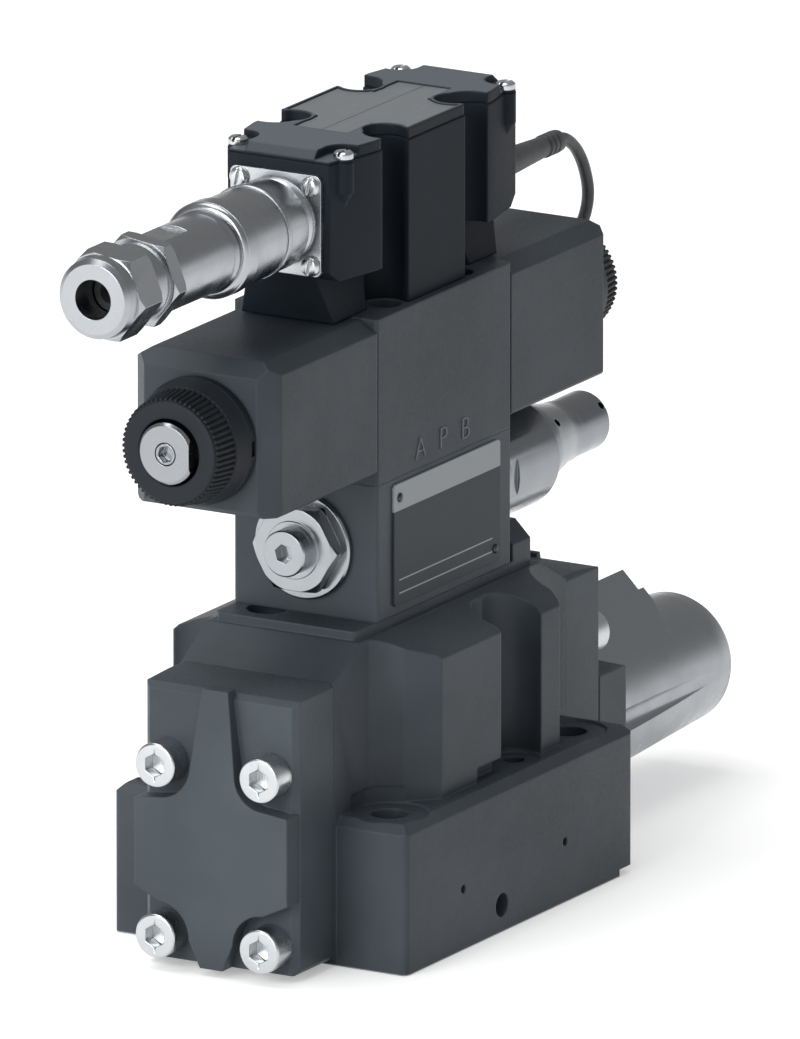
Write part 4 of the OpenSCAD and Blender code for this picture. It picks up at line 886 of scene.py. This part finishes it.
def makeLetter(letter, y, c):
    curve = bpy.data.curves.new("letter" + letter, "FONT")
    curve.body = letter
    curve.size = c["height"] / c["capShare"] * mm
    curve.align_x = "CENTER"
    curve.extrude = c["rise"] * mm
    curve.offset = -c["thin"] * mm
    mesh = bakedMesh(freshObject("letter" + letter, curve))
    place = Matrix.Translation((c["x"] * mm, y * mm, c["z"] * mm))
    mesh.transform(place @ Matrix.Rotation(math.pi / 2, 4, "Z") @ Matrix.Rotation(math.pi / 2, 4, "X"))
    return mesh


for letter, y in portLetters["letters"].items():
    mesh = makeLetter(letter, y, portLetters)
    addPiece("portLetter" + letter, mesh, paint["letters"], "valve", "cast_pilot")
print("stage: port letters")

# floor, world and lamps: the background is white, and a mirror shows it under a grey studio ceiling
studio = {"floor": "#f2f2f2", "floorGlow": 0.35, "floorHalf": 4, "floorDrop": 0.2, "fill": 0.5,
          "ceiling": 0.3, "ceilingFrom": -0.02, "ceilingTo": 0.2, "aim": (0, 0, 0.1), "lamps": {
              "top": {"place": (-0.5, -0.3, 2.4), "size": 1.8, "watts": 31},
              "key": {"place": (-0.4, -2.4, 0.9), "size": 1.4, "watts": 38}}}


def seenRays(tree):
    path = addNode(tree, "ShaderNodeLightPath").outputs
    seen = maths(tree, "MAXIMUM", path["Is Camera Ray"], path["Is Glossy Ray"])
    return maths(tree, "MAXIMUM", seen, path["Is Transmission Ray"])


def makeFloor(c):
    bm = bmesh.new()
    bmesh.ops.create_grid(bm, x_segments=1, y_segments=1, size=c["floorHalf"])
    bmesh.ops.translate(bm, vec=(0, 0, -c["floorDrop"] * mm), verts=bm.verts)
    mesh = freshMesh(bm, "floor")
    # plain matt paper that glows a little where the camera or a mirror sees it
    material, tree, shader, _ = newMaterial("floor_paper", {
        "Roughness": 0.9, "Base Color": hexColor(c["floor"]), "Emission Color": (1, 1, 1, 1)})
    glow = maths(tree, "MULTIPLY", seenRays(tree), c["floorGlow"])
    tree.links.new(glow, shader.inputs["Emission Strength"])
    mesh.materials.append(material)
    floor = freshObject("floor", mesh)


def makeWorld(c):
    world = bpy.data.worlds.new("studio")
    scene.world = world
    world.use_nodes = True
    tree = world.node_tree
    tree.nodes.clear()
    around = addNode(tree, "ShaderNodeTexCoord").outputs["Generated"]
    upward = addNode(tree, "ShaderNodeSeparateXYZ", {"Vector": around}).outputs["Z"]
    ceiling = remap(tree, upward, 1.0, c["ceiling"], c["ceilingFrom"], c["ceilingTo"])
    camera = addNode(tree, "ShaderNodeLightPath").outputs["Is Camera Ray"]
    strength = maths(tree, "MAXIMUM", camera, ceiling)
    dim = addNode(tree, "ShaderNodeBackground", {"Color": (1, 1, 1, 1), "Strength": c["fill"]})
    white = addNode(tree, "ShaderNodeBackground", {"Color": (1, 1, 1, 1), "Strength": strength})
    mix = addNode(tree, "ShaderNodeMixShader", {0: seenRays(tree), 1: dim.outputs[0], 2: white.outputs[0]})
    addNode(tree, "ShaderNodeOutputWorld", {"Surface": mix.outputs[0]})


def makeLamps(c):
    for name, lamp in c["lamps"].items():
        data = bpy.data.lights.new(name + "Lamp", "AREA")
        data.shape = "SQUARE"
        data.size = lamp["size"]
        data.energy = lamp["watts"]
        item = freshObject(name + "Lamp", data)
        item.location = lamp["place"]
        away = Vector(lamp["place"]) - Vector(c["aim"])
        item.rotation_euler = away.to_track_quat("Z", "Y").to_euler()


makeFloor(studio)
makeWorld(studio)
makeLamps(studio)
scene.view_settings.view_transform = "Standard"
print("stage: studio")
